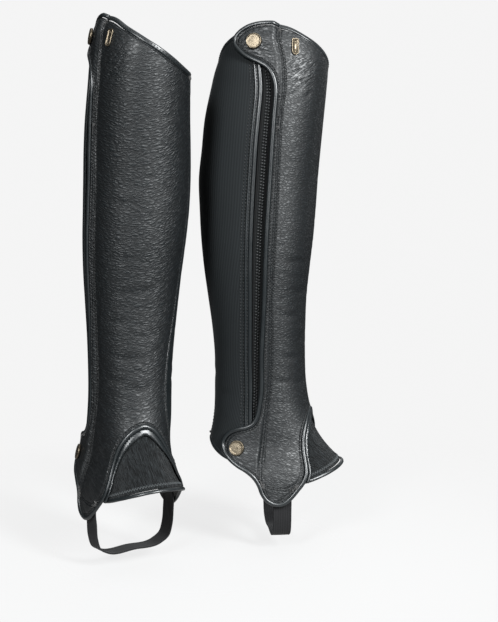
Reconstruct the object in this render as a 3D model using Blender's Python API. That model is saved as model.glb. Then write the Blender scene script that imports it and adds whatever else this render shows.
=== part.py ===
"""A pair of leather half chaps, filled out as when worn, in metres, +Z up.

Each chap is cut and sewn from the same pieces: a front panel whose hem arches over the instep and runs down as a
flap on each side, a placket with an ankle tab and a top tab beside the zip, a stretch panel at the calf, an inside
leg panel, a gusset over the instep, bindings, piping, an elastic stirrup strap, two snap caps and a small plate.

A place on a chap is an angle round the leg and a height above the sole of the foot. The angle is 0 at the front,
90 on the outer side, 180 at the back and -90 on the inner side. leg() turns both into a point, and every piece is a
flat pattern in those two numbers, laid on that form at its own distance from it. Sizes below are in millimetres.
"""

import math

import bmesh
import bpy
import numpy as np
from mathutils import Matrix, Vector
from mathutils.geometry import delaunay_2d_cdt

MM = 0.001
FULL_TURN = (360.0, 0.0)

# The pair: where each chap stands from the middle of the two, and which way it is turned about the vertical.
HELD_HEIGHT = 350.0
CHAPS = (
    {"name": "1", "right": -64.0, "back": -29.0, "turn": -143.4},
    {"name": "2", "right": 64.0, "back": 29.0, "turn": -84.0},
)

# The outer face of the leather, from the flaps beside the sole up to the calf. At each height the section reaches
# this far from the ankle's middle: forward, backward, to the outer side and to the inner side. It is widest at
# "widest" forward of that middle, and the whole section is turned to the outer side by "turn" degrees.
LEG_COLUMNS = ("height", "front", "back", "outer", "inner", "widest", "turn")
LEG = (
    (40, 152.0, -64.0, 61.0, -37.0, 16.0, 0),
    (60, 126.0, -62.0, 58.5, -36.0, 13.0, 0),
    (78, 101.5, -58.5, 55.0, -33.5, 9.0, 2),
    (93, 82.0, -55.0, 49.5, -30.5, 4.0, 5),
    (108, 68.5, -52.0, 45.0, -31.5, 0.0, 8),
    (124, 59.0, -48.6, 42.8, -34.5, -2.0, 12),
    (142, 52.4, -46.9, 41.0, -37.9, -3.0, 15),
    (165, 48.0, -46.7, 39.7, -39.4, -3.2, 17),
    (195, 46.3, -46.9, 39.6, -40.9, -3.5, 19),
    (225, 46.2, -49.8, 40.4, -43.9, -4.0, 20),
    (255, 47.0, -54.3, 41.8, -47.6, -5.0, 20),
    (285, 49.8, -58.8, 43.2, -51.5, -6.0, 20),
    (315, 52.9, -62.2, 43.6, -55.8, -6.5, 20),
    (345, 55.0, -64.2, 43.0, -59.1, -6.5, 20),
    (375, 56.8, -65.3, 42.2, -60.5, -6.0, 20),
    (405, 59.5, -62.1, 41.6, -60.2, -4.5, 20),
    (435, 62.4, -59.0, 40.2, -59.1, -1.5, 20),
    (465, 65.1, -52.8, 37.5, -58.5, 3.5, 20),
    (482, 66.3, -48.8, 35.6, -58.4, 4.5, 20),
    (495, 66.3, -44.7, 33.0, -58.2, 5.0, 20),
    (503, 64.0, -42.3, 31.5, -57.8, 4.5, 20),
    (511, 60.0, -39.8, 30.0, -57.3, 4.5, 20),
    (520, 51.5, -37.2, 26.5, -56.7, 7.0, 20),
    (530, 40.0, -34.5, 21.5, -56.0, 9.0, 20),
)
SECTION_POWER = 2.2

# The top edge as angle and height, from under the top tab round the back and the front to the outer seam.
TOP_EDGE = (
    (-268, 521.5),
    (-255, 521.0),
    (-240, 518.8),
    (-223, 512.5),
    (-208, 506.5),
    (-195, 499.5),
    (-180, 491.5),
    (-150, 484.0),
    (-120, 479.0),
    (-90, 476.5),
    (-60, 475.0),
    (-46, 475.5),
    (-34, 478.3),
    (-15, 487.5),
    (2, 498.0),
    (16, 507.2),
    (27, 513.8),
    (41, 520.4),
    (53, 524.0),
    (66, 526.0),
)

# The piped edge, as angle and height, from the top of the outer seam round the top tab, down along the zip, round
# the ankle tab and the outer flap, over the arch and round the inner flap.
PIPED_EDGE = (
    (67.0, 524.2),
    (76, 525.0),
    (86, 525.1),
    (98, 524.2),
    (109, 521.6),
    (116.5, 517.3),
    (119.8, 511.5),
    (118.3, 505.3),
    (113.2, 500.4),
    (105.0, 494.6),
    (94.2, 490.0),
    (84.0, 486.2),
    (76.4, 482.3),
    (71.4, 477.0),
    (67.8, 470.0),
    (65.2, 460.0),
    (63.5, 446.0),
    (62.3, 425.0),
    (62.1, 403.0),
    (64.0, 330.0),
    (66.3, 255.0),
    (70.5, 200.0),
    (76.0, 150.0),
    (80.0, 139.5),
    (87.5, 131.0),
    (99.5, 126.4),
    (112, 124.2),
    (124, 120.8),
    (133.5, 115.3),
    (139.6, 107.5),
    (139.3, 101.0),
    (135.5, 95.0),
    (128.5, 88.8),
    (119.6, 83.6),
    (113.6, 77.5),
    (110.9, 70.5),
    (109.8, 62.7),
    (106.0, 56.0),
    (100.6, 52.7),
    (93.5, 51.2),
    (85.0, 52.9),
    (76.4, 57.9),
    (66.8, 65.0),
    (59.0, 71.0),
    (51.5, 78.3),
    (42.5, 90.5),
    (36.2, 103.5),
    (30.2, 115.5),
    (23.5, 125.5),
    (16.5, 133.0),
    (9.0, 138.3),
    (0.5, 141.0),
    (-8.0, 137.8),
    (-14.7, 130.8),
    (-20.5, 120.8),
    (-26.5, 110.0),
    (-32.5, 100.5),
    (-40.0, 90.5),
    (-48.0, 80.5),
    (-56.5, 72.5),
    (-66.0, 65.0),
    (-76.0, 58.0),
    (-85.0, 53.0),
    (-93.0, 51.3),
    (-100.0, 52.8),
    (-105.5, 56.5),
    (-109.0, 63.5),
    (-111.0, 71.0),
    (-116.0, 78.5),
    (-124.0, 84.8),
    (-133.0, 89.5),
)

# The hem behind the flaps, as angle and height, from under the ankle tab round the back to the inner flap.
HEM = (
    (107, 92.3),
    (118, 92.5),
    (131, 93.8),
    (144, 97.8),
    (157, 104.0),
    (168, 109.0),
    (180, 110.5),
    (192, 108.5),
    (204, 102.5),
    (214, 96.0),
    (222.5, 91.7),
)

# The gusset's lower edge over the instep, as angle and height.
GUSSET_HEM = (
    (58, 72.2),
    (50, 73.8),
    (34, 79.4),
    (21, 84.6),
    (12, 87.6),
    (3, 89.0),
    (-6, 88.6),
    (-16, 86.5),
    (-30, 81.5),
    (-44, 76.0),
    (-52, 74.0),
)

# Where each seam lies, as height and angle.
OUTER_SEAM = (
    (71, 106.8),
    (75, 106.4),
    (89, 97.7),
    (108, 82.8),
    (124, 73.5),
    (146, 66.0),
    (172, 60.2),
    (255, 57.4),
    (330, 55.4),
    (403, 54.6),
    (447, 55.8),
    (481, 57.8),
    (507, 62.4),
    (520, 65.4),
    (526, 67.0),
)
INNER_SEAM = (
    (103, -37.5),
    (120, -34.5),
    (139, -32.0),
    (157, -30.4),
    (172, -31.6),
    (203, -37.0),
    (239, -45.0),
    (290, -49.5),
    (354, -51.0),
    (476, -51.0),
)
ZIP_REAR = (
    (92, 98.5),
    (118, 92.8),
    (142, 88.2),
    (200, 84.2),
    (255, 81.4),
    (330, 79.0),
    (403, 77.2),
    (441, 77.8),
    (485, 84.4),
    (520, 91.0),
)
ZIP_MIDDLE = (
    (110, 90.0),
    (142, 84.2),
    (200, 78.2),
    (255, 74.6),
    (330, 71.8),
    (403, 69.9),
    (441, 70.8),
    (485, 78.0),
    (520, 85.0),
)
BACK_SEAM = ((100, 180.0), (300, 180.0), (500, 180.0))
# The stitched line across the outer flap, as angle and height, with a patch below it.
PATCH_LINE = ((106.5, 69.4), (92.0, 66.4), (78.0, 65.4))
# Where the piped edge meets that line at the rear and at the front, and where the inner seam comes down to it.
PATCH_REAR = (110.9, 70.5)
PATCH_FRONT = (62.5, 68.4)
INNER_CORNER = (-35.5, 96.3)
# How far above the patch the outer seam starts, and where the arch over the gusset starts and ends.
SEAM_FOOT = 1.6
ARCH_ENDS = ((54.0, 75.5), (-50.0, 78.5))
# The stretch panel: the heights of its edge by the zip, how much of the strip covers it, and its corners' angles.
STRETCH_HEIGHTS = (95.8, 515.0)
STRIP_COVER = 0.45
STRETCH_CORNERS = {"hem": 106.0, "back": 180.0, "top": -264.0}

# Thicknesses, and how far the outer face of each piece lies from the form.
GAP = 0.3
LEATHER = 1.8
PLACKET = 1.5
STRETCH = 1.1
STRETCH_FACE = -0.3
GUSSET = 1.2
GUSSET_FACE = -3.0
FACING = 1.0
FACING_FACE = -0.9
FACING_WIDTHS = (1.6, 5.0)
FACING_TAPER = 0.8
TUCK = 7.0
STRIP = {"width": 7.6, "thickness": 1.0, "face": 1.1}
# The placket rises from the outer seam to lie over the zip, and comes down again below the ankle tab.
TAB_RISE = 3.4
RISE_ANGLE = 9.0
RISE_HEIGHTS = (68.0, 98.0)

# Bindings and piping: half across the edge, half through it, and how far the middle lies from the form.
PIPING = {"across": 1.8, "through": 1.3, "centre": -0.3}
TOP_BINDING = {"across": 2.4, "through": 1.3, "centre": -0.85}
HEM_BINDING = {"across": 2.2, "through": 1.2, "centre": -1.0}
GUSSET_BINDING = {"across": 1.8, "through": 1.2, "centre": -3.7}
ROLL_SIDES = 6
EDGE_INSET = PIPING["across"] + GAP + 0.05
TOP_INSET = 2 * TOP_BINDING["across"] + GAP
HEM_INSET = HEM_BINDING["across"] + GAP

# The zip: a tape with a raised chain along its middle, as half widths and distances from the form.
ZIP_TAPE_HALF = 7.6
ZIP_CHAIN_HALF = 2.7
ZIP_CHAIN_CREST = 0.8
ZIP_TAPE = (-2.9, -2.1)
ZIP_CHAIN_TOP = -0.4
ZIP_HEIGHTS = (114.0, 510.0)
STRIP_HEIGHTS = (100.0, 512.0)

# Fittings.
TOP_SNAP = {"angle": 93.0, "height": 507.5, "radius": 7.9}
ANKLE_SNAP = {"angle": 121.6, "height": 105.4, "radius": 7.7}
SNAP_SIDES = 20
# A snap cap's turned profile, as a share of its radius, a step in from there, and a height.
SNAP_PROFILE = (
    (0.0, 0.0, 0.0),
    (1.0, 0.5, 0.0),
    (1.0, 0.0, 0.5),
    (1.0, 0.0, 1.2),
    (1.0, 0.9, 1.9),
    (1.0, 2.0, 1.5),
    (0.45, 0.0, 2.15),
    (0.0, 0.0, 2.4),
)
PLATE = {"angle": 45.5, "height": 502.8, "width": 7.0, "length": 16.6, "thickness": 1.2, "lean": -4.0}
PLATE_CORNER = 0.8
PLATE_TOP_SHARE = (0.86, 0.94)
PLATE_FOOT_POINTS = 9

# The elastic strap below the foot: where it crosses, and its middle line as (outward, height).
STRAP = {"forward": 16.5, "width": 18.5, "thickness": 1.6, "inside": 3.5}
STRAP_FLAP_HEIGHTS = (67.0, 57.0)
STRAP_FLAP_ANGLES = (60.0, 125.0)
STRAP_STEP = 12.0
STRAP_TURN = 14.0
STRAP_LINE = (
    (54.6, 46.0),
    (53.6, 32.0),
    (50.0, 21.5),
    (41.5, 16.2),
    (12.0, 15.0),
    (-18.0, 16.2),
    (-26.8, 21.5),
    (-30.8, 32.0),
    (-32.3, 46.0),
)

# How finely the patterns are cut: an edge's longest side and the most it turns, and the grid inside a panel.
EDGE_STEP = 14.0
EDGE_TURN = 24.0
EDGE_SHORTEST = 1.5
LAST_STEP_SHARE = 0.2
PIPED_STEP = 13.0
SEAM_STEP = 1.5
GRID_ROUND = 10.0
GRID_UP = 17.0
GRID_MARGIN = 0.42
PLACKET_GRID = (5.0, 9.0)
SHARP_ANGLE = 40.0

COLOURS = {
    "grain_leather": ((0.026, 0.029, 0.030), 0.46, 0.0),
    "smooth_leather": ((0.022, 0.024, 0.025), 0.36, 0.0),
    "piping_leather": ((0.018, 0.019, 0.020), 0.22, 0.0),
    "stretch_cloth": ((0.021, 0.024, 0.026), 0.85, 0.0),
    "napped_cloth": ((0.024, 0.026, 0.027), 0.95, 0.0),
    "zip_black": ((0.012, 0.013, 0.013), 0.5, 0.0),
    "elastic": ((0.017, 0.018, 0.018), 0.8, 0.0),
    "aged_brass": ((0.42, 0.33, 0.20), 0.34, 1.0),
}


def curve_through(rows, at):
    """Smooth values at the places "at" through rows of (place, value), whose places rise."""
    places, values = np.array(rows, float).T
    steps = np.diff(places)
    slopes = np.diff(values) / steps
    inner = (slopes[:-1] * steps[1:] + slopes[1:] * steps[:-1]) / (places[2:] - places[:-2])
    tangents = np.concatenate([slopes[:1], inner, slopes[-1:]])
    at = np.asarray(at, float)
    i = np.clip(np.searchsorted(places, at) - 1, 0, len(steps) - 1)
    s = (at - places[i]) / steps[i]
    return (
        values[i] * (1 + 2 * s) * (1 - s) ** 2
        + tangents[i] * steps[i] * s * (1 - s) ** 2
        + values[i + 1] * s**2 * (3 - 2 * s)
        + tangents[i + 1] * steps[i] * s**2 * (s - 1)
    )


def ease(x):
    """0 below 0, 1 above 1, and smooth between."""
    x = np.clip(x, 0.0, 1.0)
    return x * x * (3 - 2 * x)


def leg(angle, height):
    """Points on the form, whose section is a rounded oval at each height."""
    height = np.asarray(height, float)
    turn = np.radians(np.asarray(angle, float))
    size = {
        name: curve_through([(row[0], row[k]) for row in LEG], height)
        for k, name in enumerate(LEG_COLUMNS)
        if k
    }
    middle = (size["outer"] + size["inner"]) / 2
    half = (size["outer"] - size["inner"]) / 2
    forward = np.cos(turn)
    depth = np.where(forward > 0, size["front"] - size["widest"], size["widest"] - size["back"])
    reach = ((np.abs(forward) / depth) ** SECTION_POWER + (np.abs(np.sin(turn)) / half) ** SECTION_POWER) ** (
        -1 / SECTION_POWER
    )
    aside, ahead = middle + reach * np.sin(turn), size["widest"] + reach * forward
    twist = np.radians(size["turn"])
    across = aside * np.cos(twist) + ahead * np.sin(twist)
    along = ahead * np.cos(twist) - aside * np.sin(twist)
    return np.stack([across, along, height + 0 * reach], -1)


def outward(angle, height):
    """The form's outward direction."""
    around = leg(angle + 0.5, height) - leg(angle - 0.5, height)
    up = leg(angle, height + 0.5) - leg(angle, height - 0.5)
    direction = np.cross(up, around)
    return direction / np.linalg.norm(direction, axis=-1, keepdims=True)


def on_leg(places, offset):
    """Points at that distance out from the form, over places of (angle, height)."""
    places = np.asarray(places, float)
    offset = np.broadcast_to(np.asarray(offset, float), places.shape[:-1])
    angle, height = places[..., 0], places[..., 1]
    return leg(angle, height) + outward(angle, height) * offset[..., None]


def round_scale(places):
    """Millimetres for one degree at each place."""
    angle, height = np.asarray(places, float).T
    return np.linalg.norm(leg(angle + 0.5, height) - leg(angle - 0.5, height), axis=-1)


def placket_rise(places):
    """How far the placket and its edge lie above the form at each place."""
    angle, height = np.moveaxis(np.asarray(places, float), -1, 0)
    low, high = RISE_HEIGHTS
    behind = angle - curve_through(OUTER_SEAM, np.clip(height, OUTER_SEAM[0][0], OUTER_SEAM[-1][0]))
    return TAB_RISE * ease(behind / RISE_ANGLE) * ease((height - low) / (high - low))


def smooth_route(rows, per_span=24):
    """Many places on one smooth curve through rows of (angle, height)."""
    rows = np.array(rows, float)
    along = np.concatenate([[0], np.cumsum(np.linalg.norm(np.diff(rows, axis=0), axis=1))])
    spans = [np.linspace(a, b, per_span, endpoint=False) for a, b in zip(along, along[1:])]
    at = np.concatenate([*spans, along[-1:]])
    return np.stack([curve_through(np.stack([along, rows[:, k]], 1), at) for k in (0, 1)], 1)


def stepped(route, longest=EDGE_STEP, most_turn=EDGE_TURN):
    """Fewer places on a route: one wherever it has run "longest" or turned "most_turn" degrees."""
    kept = [route[0]]
    run = turned = 0.0
    for before, here, after in zip(route, route[1:], route[2:]):
        step, ahead = here - before, after - here
        run += np.linalg.norm(step)
        bend = math.atan2(step[0] * ahead[1] - step[1] * ahead[0], step @ ahead)
        turned += abs(math.degrees(bend))
        if run >= longest or turned >= most_turn and run > EDGE_SHORTEST:
            kept.append(here)
            run = turned = 0.0
    if np.linalg.norm(route[-1] - kept[-1]) < longest * LAST_STEP_SHARE and len(kept) > 1:
        kept.pop()
    return np.array([*kept, route[-1]])


def sideways(places, distance):
    """The places moved that many millimetres to the left of the way they run, as seen from outside."""
    places = np.asarray(places, float)
    scale = round_scale(places)[:, None] * [1.0, 0.0] + [0.0, 1.0]
    ahead = np.gradient(places, axis=0) * scale
    ahead /= np.linalg.norm(ahead, axis=1, keepdims=True)
    return places + np.stack([ahead[:, 1], -ahead[:, 0]], 1) * distance / scale


def by_height(rows, low, high):
    """Places (angle, height) on a seam given as rows of (height, angle), from low to high."""
    heights = np.linspace(low, high, max(3, round((high - low) / SEAM_STEP)))
    return stepped(np.stack([curve_through(rows, heights), heights], 1))


def inside(outline, point):
    """Whether the point lies within the closed outline."""
    a, b = outline, np.roll(outline, -1, axis=0)
    spans = (a[:, 1] > point[1]) != (b[:, 1] > point[1])
    with np.errstate(divide="ignore", invalid="ignore"):
        crossing = a[:, 0] + (point[1] - a[:, 1]) * (b[:, 0] - a[:, 0]) / (b[:, 1] - a[:, 1])
    return np.count_nonzero(spans & (point[0] < crossing)) % 2 == 1


def to_outline(outline, point):
    """The point's distance from the outline."""
    a, b = outline, np.roll(outline, -1, axis=0)
    share = np.clip(((point - a) * (b - a)).sum(1) / ((b - a) ** 2).sum(1), 0, 1)
    return np.linalg.norm(a + share[:, None] * (b - a) - point, axis=1).min()


def pattern(outline, around=GRID_ROUND, up=GRID_UP):
    """The outline filled with triangles, with a staggered grid of points inside it."""
    outline = np.asarray(outline, float)
    low, high = outline.min(0), outline.max(0)
    grid = [
        np.array([angle + (row % 2) * around / 2, height])
        for row, height in enumerate(np.arange(low[1] + up / 2, high[1], up))
        for angle in np.arange(low[0], high[0], around)
    ]
    margin = GRID_MARGIN * min(around, up)
    grid = [p for p in grid if inside(outline, p) and to_outline(outline, p) > margin]
    points = [Vector(p) for p in [*outline, *grid]]
    found = delaunay_2d_cdt(points, [], [list(range(len(outline)))], 1, 1e-6)
    return np.array([tuple(p) for p in found[0]]), [tuple(t) for t in found[2]]


def mesh_object(name, mesh_builder, material, parent):
    """One object, in the chap's own frame, from a function that fills a bmesh in millimetres."""
    shape = bmesh.new()
    mesh_builder(shape)
    bmesh.ops.transform(shape, matrix=Matrix.Scale(MM, 4), verts=shape.verts)
    bmesh.ops.recalc_face_normals(shape, faces=shape.faces)
    mesh = bpy.data.meshes.new(name)
    shape.to_mesh(mesh)
    shape.free()
    mesh.shade_smooth()
    mesh.set_sharp_from_angle(angle=math.radians(SHARP_ANGLE))
    piece = bpy.data.objects.new(name, mesh)
    piece.data.materials.append(material)
    piece.parent = parent
    bpy.context.scene.collection.objects.link(piece)
    return piece


def wall(outline, face, thickness, rise=None, **grid):
    """A builder for a piece cut to the outline: a wall whose outer side lies "face" from the form."""

    def build(shape):
        places, triangles = pattern(outline, **grid)
        offset = face + (rise(places) if rise else 0.0)
        sides = [[shape.verts.new(p) for p in on_leg(places, offset - depth)] for depth in (0.0, thickness)]
        outer, inner = sides
        for triangle in triangles:
            shape.faces.new([outer[i] for i in triangle])
            shape.faces.new([inner[i] for i in reversed(triangle)])
        shape.verts.index_update()
        rim = [e for e in shape.edges if e.is_boundary and e.verts[0].index < len(outer) > e.verts[1].index]
        for edge in rim:
            a, b = (v.index for v in edge.verts)
            shape.faces.new([outer[a], outer[b], inner[b], inner[a]])

    return build


def sweep(places, offset, section):
    """A builder for a strip or roll along places: its section is a closed outline of (across, out)."""

    def build(shape):
        middles = on_leg(places, offset)
        angle, height = np.asarray(places, float).T
        out = outward(angle, height)
        ahead = np.gradient(middles, axis=0)
        ahead /= np.linalg.norm(ahead, axis=1, keepdims=True)
        across = np.cross(ahead, out)
        across /= np.linalg.norm(across, axis=1, keepdims=True)
        out = np.cross(across, ahead)
        add_rings(shape, [[m + a * x + o * y for x, y in section] for m, a, o in zip(middles, across, out)])

    return build


def add_rings(shape, rings):
    """Rings of points joined in order, and closed at both ends."""
    rings = [[shape.verts.new(p) for p in ring] for ring in rings]
    for ring, following in zip(rings, rings[1:]):
        for i in range(len(ring)):
            j = (i + 1) % len(ring)
            shape.faces.new([ring[i], ring[j], following[j], following[i]])
    shape.faces.new(rings[0])
    shape.faces.new(rings[-1])


def roll_section(size, sides=ROLL_SIDES):
    """An oval section of that many sides."""
    turns = (math.tau * (i + 0.5) / sides for i in range(sides))
    return [(size["across"] * math.cos(t), size["through"] * math.sin(t)) for t in turns]


def roll(places, size, rise=None):
    """A builder for a rolled edge along places."""
    offset = size["centre"] + (rise(places) if rise else 0.0)
    return sweep(places, offset, roll_section(size))


def facing_frame(angle, height, offset):
    """A matrix that stands a small piece on the form there, its Z outward and its Y up the leg."""
    out = Vector(outward(np.array(angle), np.array(height)))
    right = Vector((0, 0, 1)).cross(out).normalized()
    frame = Matrix((right, out.cross(right), out)).transposed().to_4x4()
    frame.translation = Vector(on_leg((angle, height), offset))
    return frame


def snap_cap(place, offset):
    """A builder for a press-stud cap: a turned disc with a rim, a shallow ring and a low dome."""

    def build(shape):
        profile = [(share * place["radius"] - inward, up) for share, inward, up in SNAP_PROFILE]
        verts = [shape.verts.new((x, 0.0, z)) for x, z in profile]
        edges = [shape.edges.new(pair) for pair in zip(verts, verts[1:])]
        bmesh.ops.spin(
            shape,
            geom=verts + edges,
            cent=(0, 0, 0),
            axis=(0, 0, 1),
            angle=math.tau,
            steps=SNAP_SIDES,
            use_merge=True,
        )
        bmesh.ops.remove_doubles(shape, verts=shape.verts, dist=0.001)
        frame = facing_frame(place["angle"], place["height"], offset)
        bmesh.ops.transform(shape, matrix=frame, verts=shape.verts)

    return build


def small_plate(shape):
    """The bare metal plate: a bar with a straight top and a round foot, its edge bevelled."""
    half = PLATE["width"] / 2
    top = PLATE["length"] / 2
    centre = half - top
    turns = np.linspace(0, math.pi, PLATE_FOOT_POINTS)
    foot = [(half * math.cos(t), centre - half * math.sin(t)) for t in turns]
    side = top - PLATE_CORNER
    outline = [*foot, (-half, side), (PLATE_CORNER - half, top), (half - PLATE_CORNER, top), (half, side)]
    face = shape.faces.new([shape.verts.new((x, y, 0.0)) for x, y in outline])
    raised = bmesh.ops.extrude_face_region(shape, geom=[face])
    raised_verts = [v for v in raised["geom"] if isinstance(v, bmesh.types.BMVert)]
    bmesh.ops.translate(shape, verts=raised_verts, vec=(0, 0, PLATE["thickness"]))
    bmesh.ops.scale(shape, verts=raised_verts, vec=(*PLATE_TOP_SHARE, 1.0))
    lean = Matrix.Rotation(math.radians(PLATE["lean"]), 4, "Z")
    frame = facing_frame(PLATE["angle"], PLATE["height"], GAP) @ lean
    bmesh.ops.transform(shape, matrix=frame, verts=shape.verts)


def strap_band(shape):
    """The strap: a flat band from inside the outer flap, below the foot and up inside the inner flap."""
    angles = np.linspace(*STRAP_FLAP_ANGLES, 200)
    ends = {}
    for side in (1, -1):
        for height in STRAP_FLAP_HEIGHTS:
            flap = leg(side * angles, np.full(len(angles), height))
            beside = flap[np.abs(flap[:, 1] - STRAP["forward"]).argmin()]
            ends[side, height] = (beside[0] - side * STRAP["inside"], height)
    high, low = STRAP_FLAP_HEIGHTS
    rows = [ends[1, high], ends[1, low], *STRAP_LINE, ends[-1, low], ends[-1, high]]
    middle = stepped(smooth_route(rows), STRAP_STEP, STRAP_TURN)
    ahead = np.gradient(middle, axis=0)
    ahead /= np.linalg.norm(ahead, axis=1, keepdims=True)
    side = np.stack([-ahead[:, 1], ahead[:, 0]], 1)
    half, thick = STRAP["width"] / 2, STRAP["thickness"] / 2
    rings = [
        [
            (m[0] + s[0] * thick * v, STRAP["forward"] + half * u, m[1] + s[1] * thick * v)
            for u, v in ((-1, -1), (1, -1), (1, 1), (-1, 1))
        ]
        for m, s in zip(middle, side)
    ]
    add_rings(shape, rings)


def by_angle(rows, first, last, below=0.0):
    """Places along an edge given as rows of (angle, height), from one angle to another, that far below it."""
    angles = np.linspace(first, last, max(3, round(abs(last - first))))
    return stepped(np.stack([angles, curve_through(sorted(rows), angles) - below], 1))


def nearest(places, target):
    """The index of the place closest to the target."""
    return int(np.linalg.norm(places - target, axis=1).argmin())


def leather_outlines(edge):
    """The outlines of the front panel, the placket, the flap patch and the inner panel."""
    inset = sideways(edge, EDGE_INSET)
    rear, front, split = (nearest(edge, target) for target in (PATCH_REAR, PATCH_FRONT, INNER_CORNER))
    lift = np.array([0.0, GAP + 0.05])
    line = np.array([inset[rear], *PATCH_LINE, inset[front]])

    outer_seam = by_height(OUTER_SEAM, PATCH_LINE[0][1] + SEAM_FOOT, TOP_EDGE[-1][1] - TOP_INSET)
    inner_top = curve_through(TOP_EDGE, INNER_SEAM[-1][1]) - TOP_INSET
    inner_seam = np.concatenate([inset[split : split + 1], by_height(INNER_SEAM, INNER_SEAM[0][0], inner_top)])
    back = STRETCH_CORNERS["back"]
    back_heights = curve_through(HEM, back) + HEM_INSET, curve_through(TOP_EDGE, -back) - TOP_INSET
    back_seam = by_height(BACK_SEAM, *back_heights)

    outlines = {}
    outlines["placket"] = [inset[:rear], line[:1] + lift, line[1:2] + lift, sideways(outer_seam, GAP / 2)]
    outlines["flap_patch"] = [inset[rear:front], line[:0:-1]]
    outlines["front_panel"] = [
        sideways(outer_seam, -GAP / 2)[::-1],
        line[1:] + lift,
        inset[front + 1 : split],
        sideways(inner_seam, GAP / 2),
        by_angle(TOP_EDGE, INNER_SEAM[-1][1], OUTER_SEAM[-1][1], TOP_INSET)[1:-1],
    ]
    outlines["inner_panel"] = [
        inset[split + 1 :],
        (sideways(by_angle(HEM, HEM[-1][0], back), HEM_INSET) - FULL_TURN)[:-1],
        sideways(back_seam - FULL_TURN, GAP / 2),
        by_angle(TOP_EDGE, -back, INNER_SEAM[-1][1], TOP_INSET)[1:-1],
        sideways(inner_seam, -GAP / 2)[::-1],
    ]
    outlines["stretch_panel"] = [
        sideways(by_height(ZIP_REAR, *STRETCH_HEIGHTS), STRIP["width"] * STRIP_COVER)[::-1],
        sideways(by_angle(HEM, STRETCH_CORNERS["hem"], back), -HEM_INSET)[:-1],
        sideways(back_seam, -GAP / 2),
        by_angle(TOP_EDGE, -back, STRETCH_CORNERS["top"], TOP_INSET)[1:] + FULL_TURN,
    ]
    return {name: np.concatenate(parts) for name, parts in outlines.items()}


def gusset_outlines(edge):
    """The outlines of the gusset and of the facing that shows between it and the arch."""
    first, last = (nearest(edge, end) for end in ARCH_ENDS)
    arch = edge[first : last + 1]
    share = np.abs(np.linspace(-1, 1, len(arch)))
    narrow, wide = FACING_WIDTHS
    widths = EDGE_INSET + wide + (narrow - wide) * ease(share / FACING_TAPER)
    near = sideways(arch, -EDGE_INSET)
    one_step = sideways(arch, -2.0) - sideways(arch, -1.0)
    far = sideways(arch, -1.0) + one_step * (widths - 1.0)[:, None]
    lower = sideways(by_angle(GUSSET_HEM, GUSSET_HEM[0][0], GUSSET_HEM[-1][0]), GUSSET_BINDING["across"] + GAP)
    return {
        "arch_facing": np.concatenate([near, far[::-1]]),
        "gusset": np.concatenate([sideways(arch, TUCK), lower[::-1]]),
    }


def chap_pieces():
    """Every piece of one chap as (name, builder, material)."""
    edge = stepped(smooth_route(PIPED_EDGE), PIPED_STEP)
    outlines = leather_outlines(edge) | gusset_outlines(edge)
    top = by_angle(TOP_EDGE, TOP_EDGE[0][0], TOP_EDGE[-1][0] - 1.0, TOP_BINDING["across"])
    hem = by_angle(HEM, HEM[0][0], HEM[-1][0])
    gusset_hem = by_angle(GUSSET_HEM, GUSSET_HEM[0][0], GUSSET_HEM[-1][0])
    strip = sideways(by_height(ZIP_REAR, *STRIP_HEIGHTS), STRIP["width"] / 2)
    zip_line = by_height(ZIP_MIDDLE, *ZIP_HEIGHTS)
    half, low = STRIP["width"] / 2, STRIP["face"] - STRIP["thickness"]
    strip_section = ((-half, low), (half, low), (half, STRIP["face"]), (-half, STRIP["face"]))
    tape, chain, (below, above) = ZIP_TAPE_HALF, ZIP_CHAIN_HALF, ZIP_TAPE
    zip_section = (
        (-tape, below),
        (tape, below),
        (tape, above),
        (chain, above),
        (chain * ZIP_CHAIN_CREST, ZIP_CHAIN_TOP),
        (-chain * ZIP_CHAIN_CREST, ZIP_CHAIN_TOP),
        (-chain, above),
        (-tape, above),
    )
    around, up = PLACKET_GRID
    placket = wall(outlines["placket"], 0.0, PLACKET, placket_rise, around=around, up=up)
    return (
        ("front_panel", wall(outlines["front_panel"], 0.0, LEATHER), "grain_leather"),
        ("placket", placket, "grain_leather"),
        ("flap_patch", wall(outlines["flap_patch"], 0.0, LEATHER), "smooth_leather"),
        ("inner_panel", wall(outlines["inner_panel"], 0.0, LEATHER), "smooth_leather"),
        ("stretch_panel", wall(outlines["stretch_panel"], STRETCH_FACE, STRETCH), "stretch_cloth"),
        ("zip_strip", sweep(strip, 0.0, strip_section), "smooth_leather"),
        ("zip", sweep(zip_line, 0.0, zip_section), "zip_black"),
        ("gusset", wall(outlines["gusset"], GUSSET_FACE, GUSSET), "napped_cloth"),
        ("arch_facing", wall(outlines["arch_facing"], FACING_FACE, FACING), "smooth_leather"),
        ("gusset_binding", roll(gusset_hem, GUSSET_BINDING), "piping_leather"),
        ("top_binding", roll(top, TOP_BINDING), "piping_leather"),
        ("piping", roll(edge, PIPING, rise=placket_rise), "piping_leather"),
        ("hem_binding", roll(hem, HEM_BINDING), "piping_leather"),
        ("strap", strap_band, "elastic"),
        ("top_snap", snap_cap(TOP_SNAP, TAB_RISE + GAP), "aged_brass"),
        ("ankle_snap", snap_cap(ANKLE_SNAP, TAB_RISE + GAP), "aged_brass"),
        ("plate", small_plate, "aged_brass"),
    )


def make_material(name):
    """A Principled material with this piece's colour, roughness and metallic value."""
    colour, roughness, metallic = COLOURS[name]
    material = bpy.data.materials.new(name)
    material.use_nodes = True
    shader = material.node_tree.nodes["Principled BSDF"]
    shader.inputs["Base Color"].default_value = (*colour, 1.0)
    shader.inputs["Roughness"].default_value = roughness
    shader.inputs["Metallic"].default_value = metallic
    material.diffuse_color = (*colour, 1.0)
    return material


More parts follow.
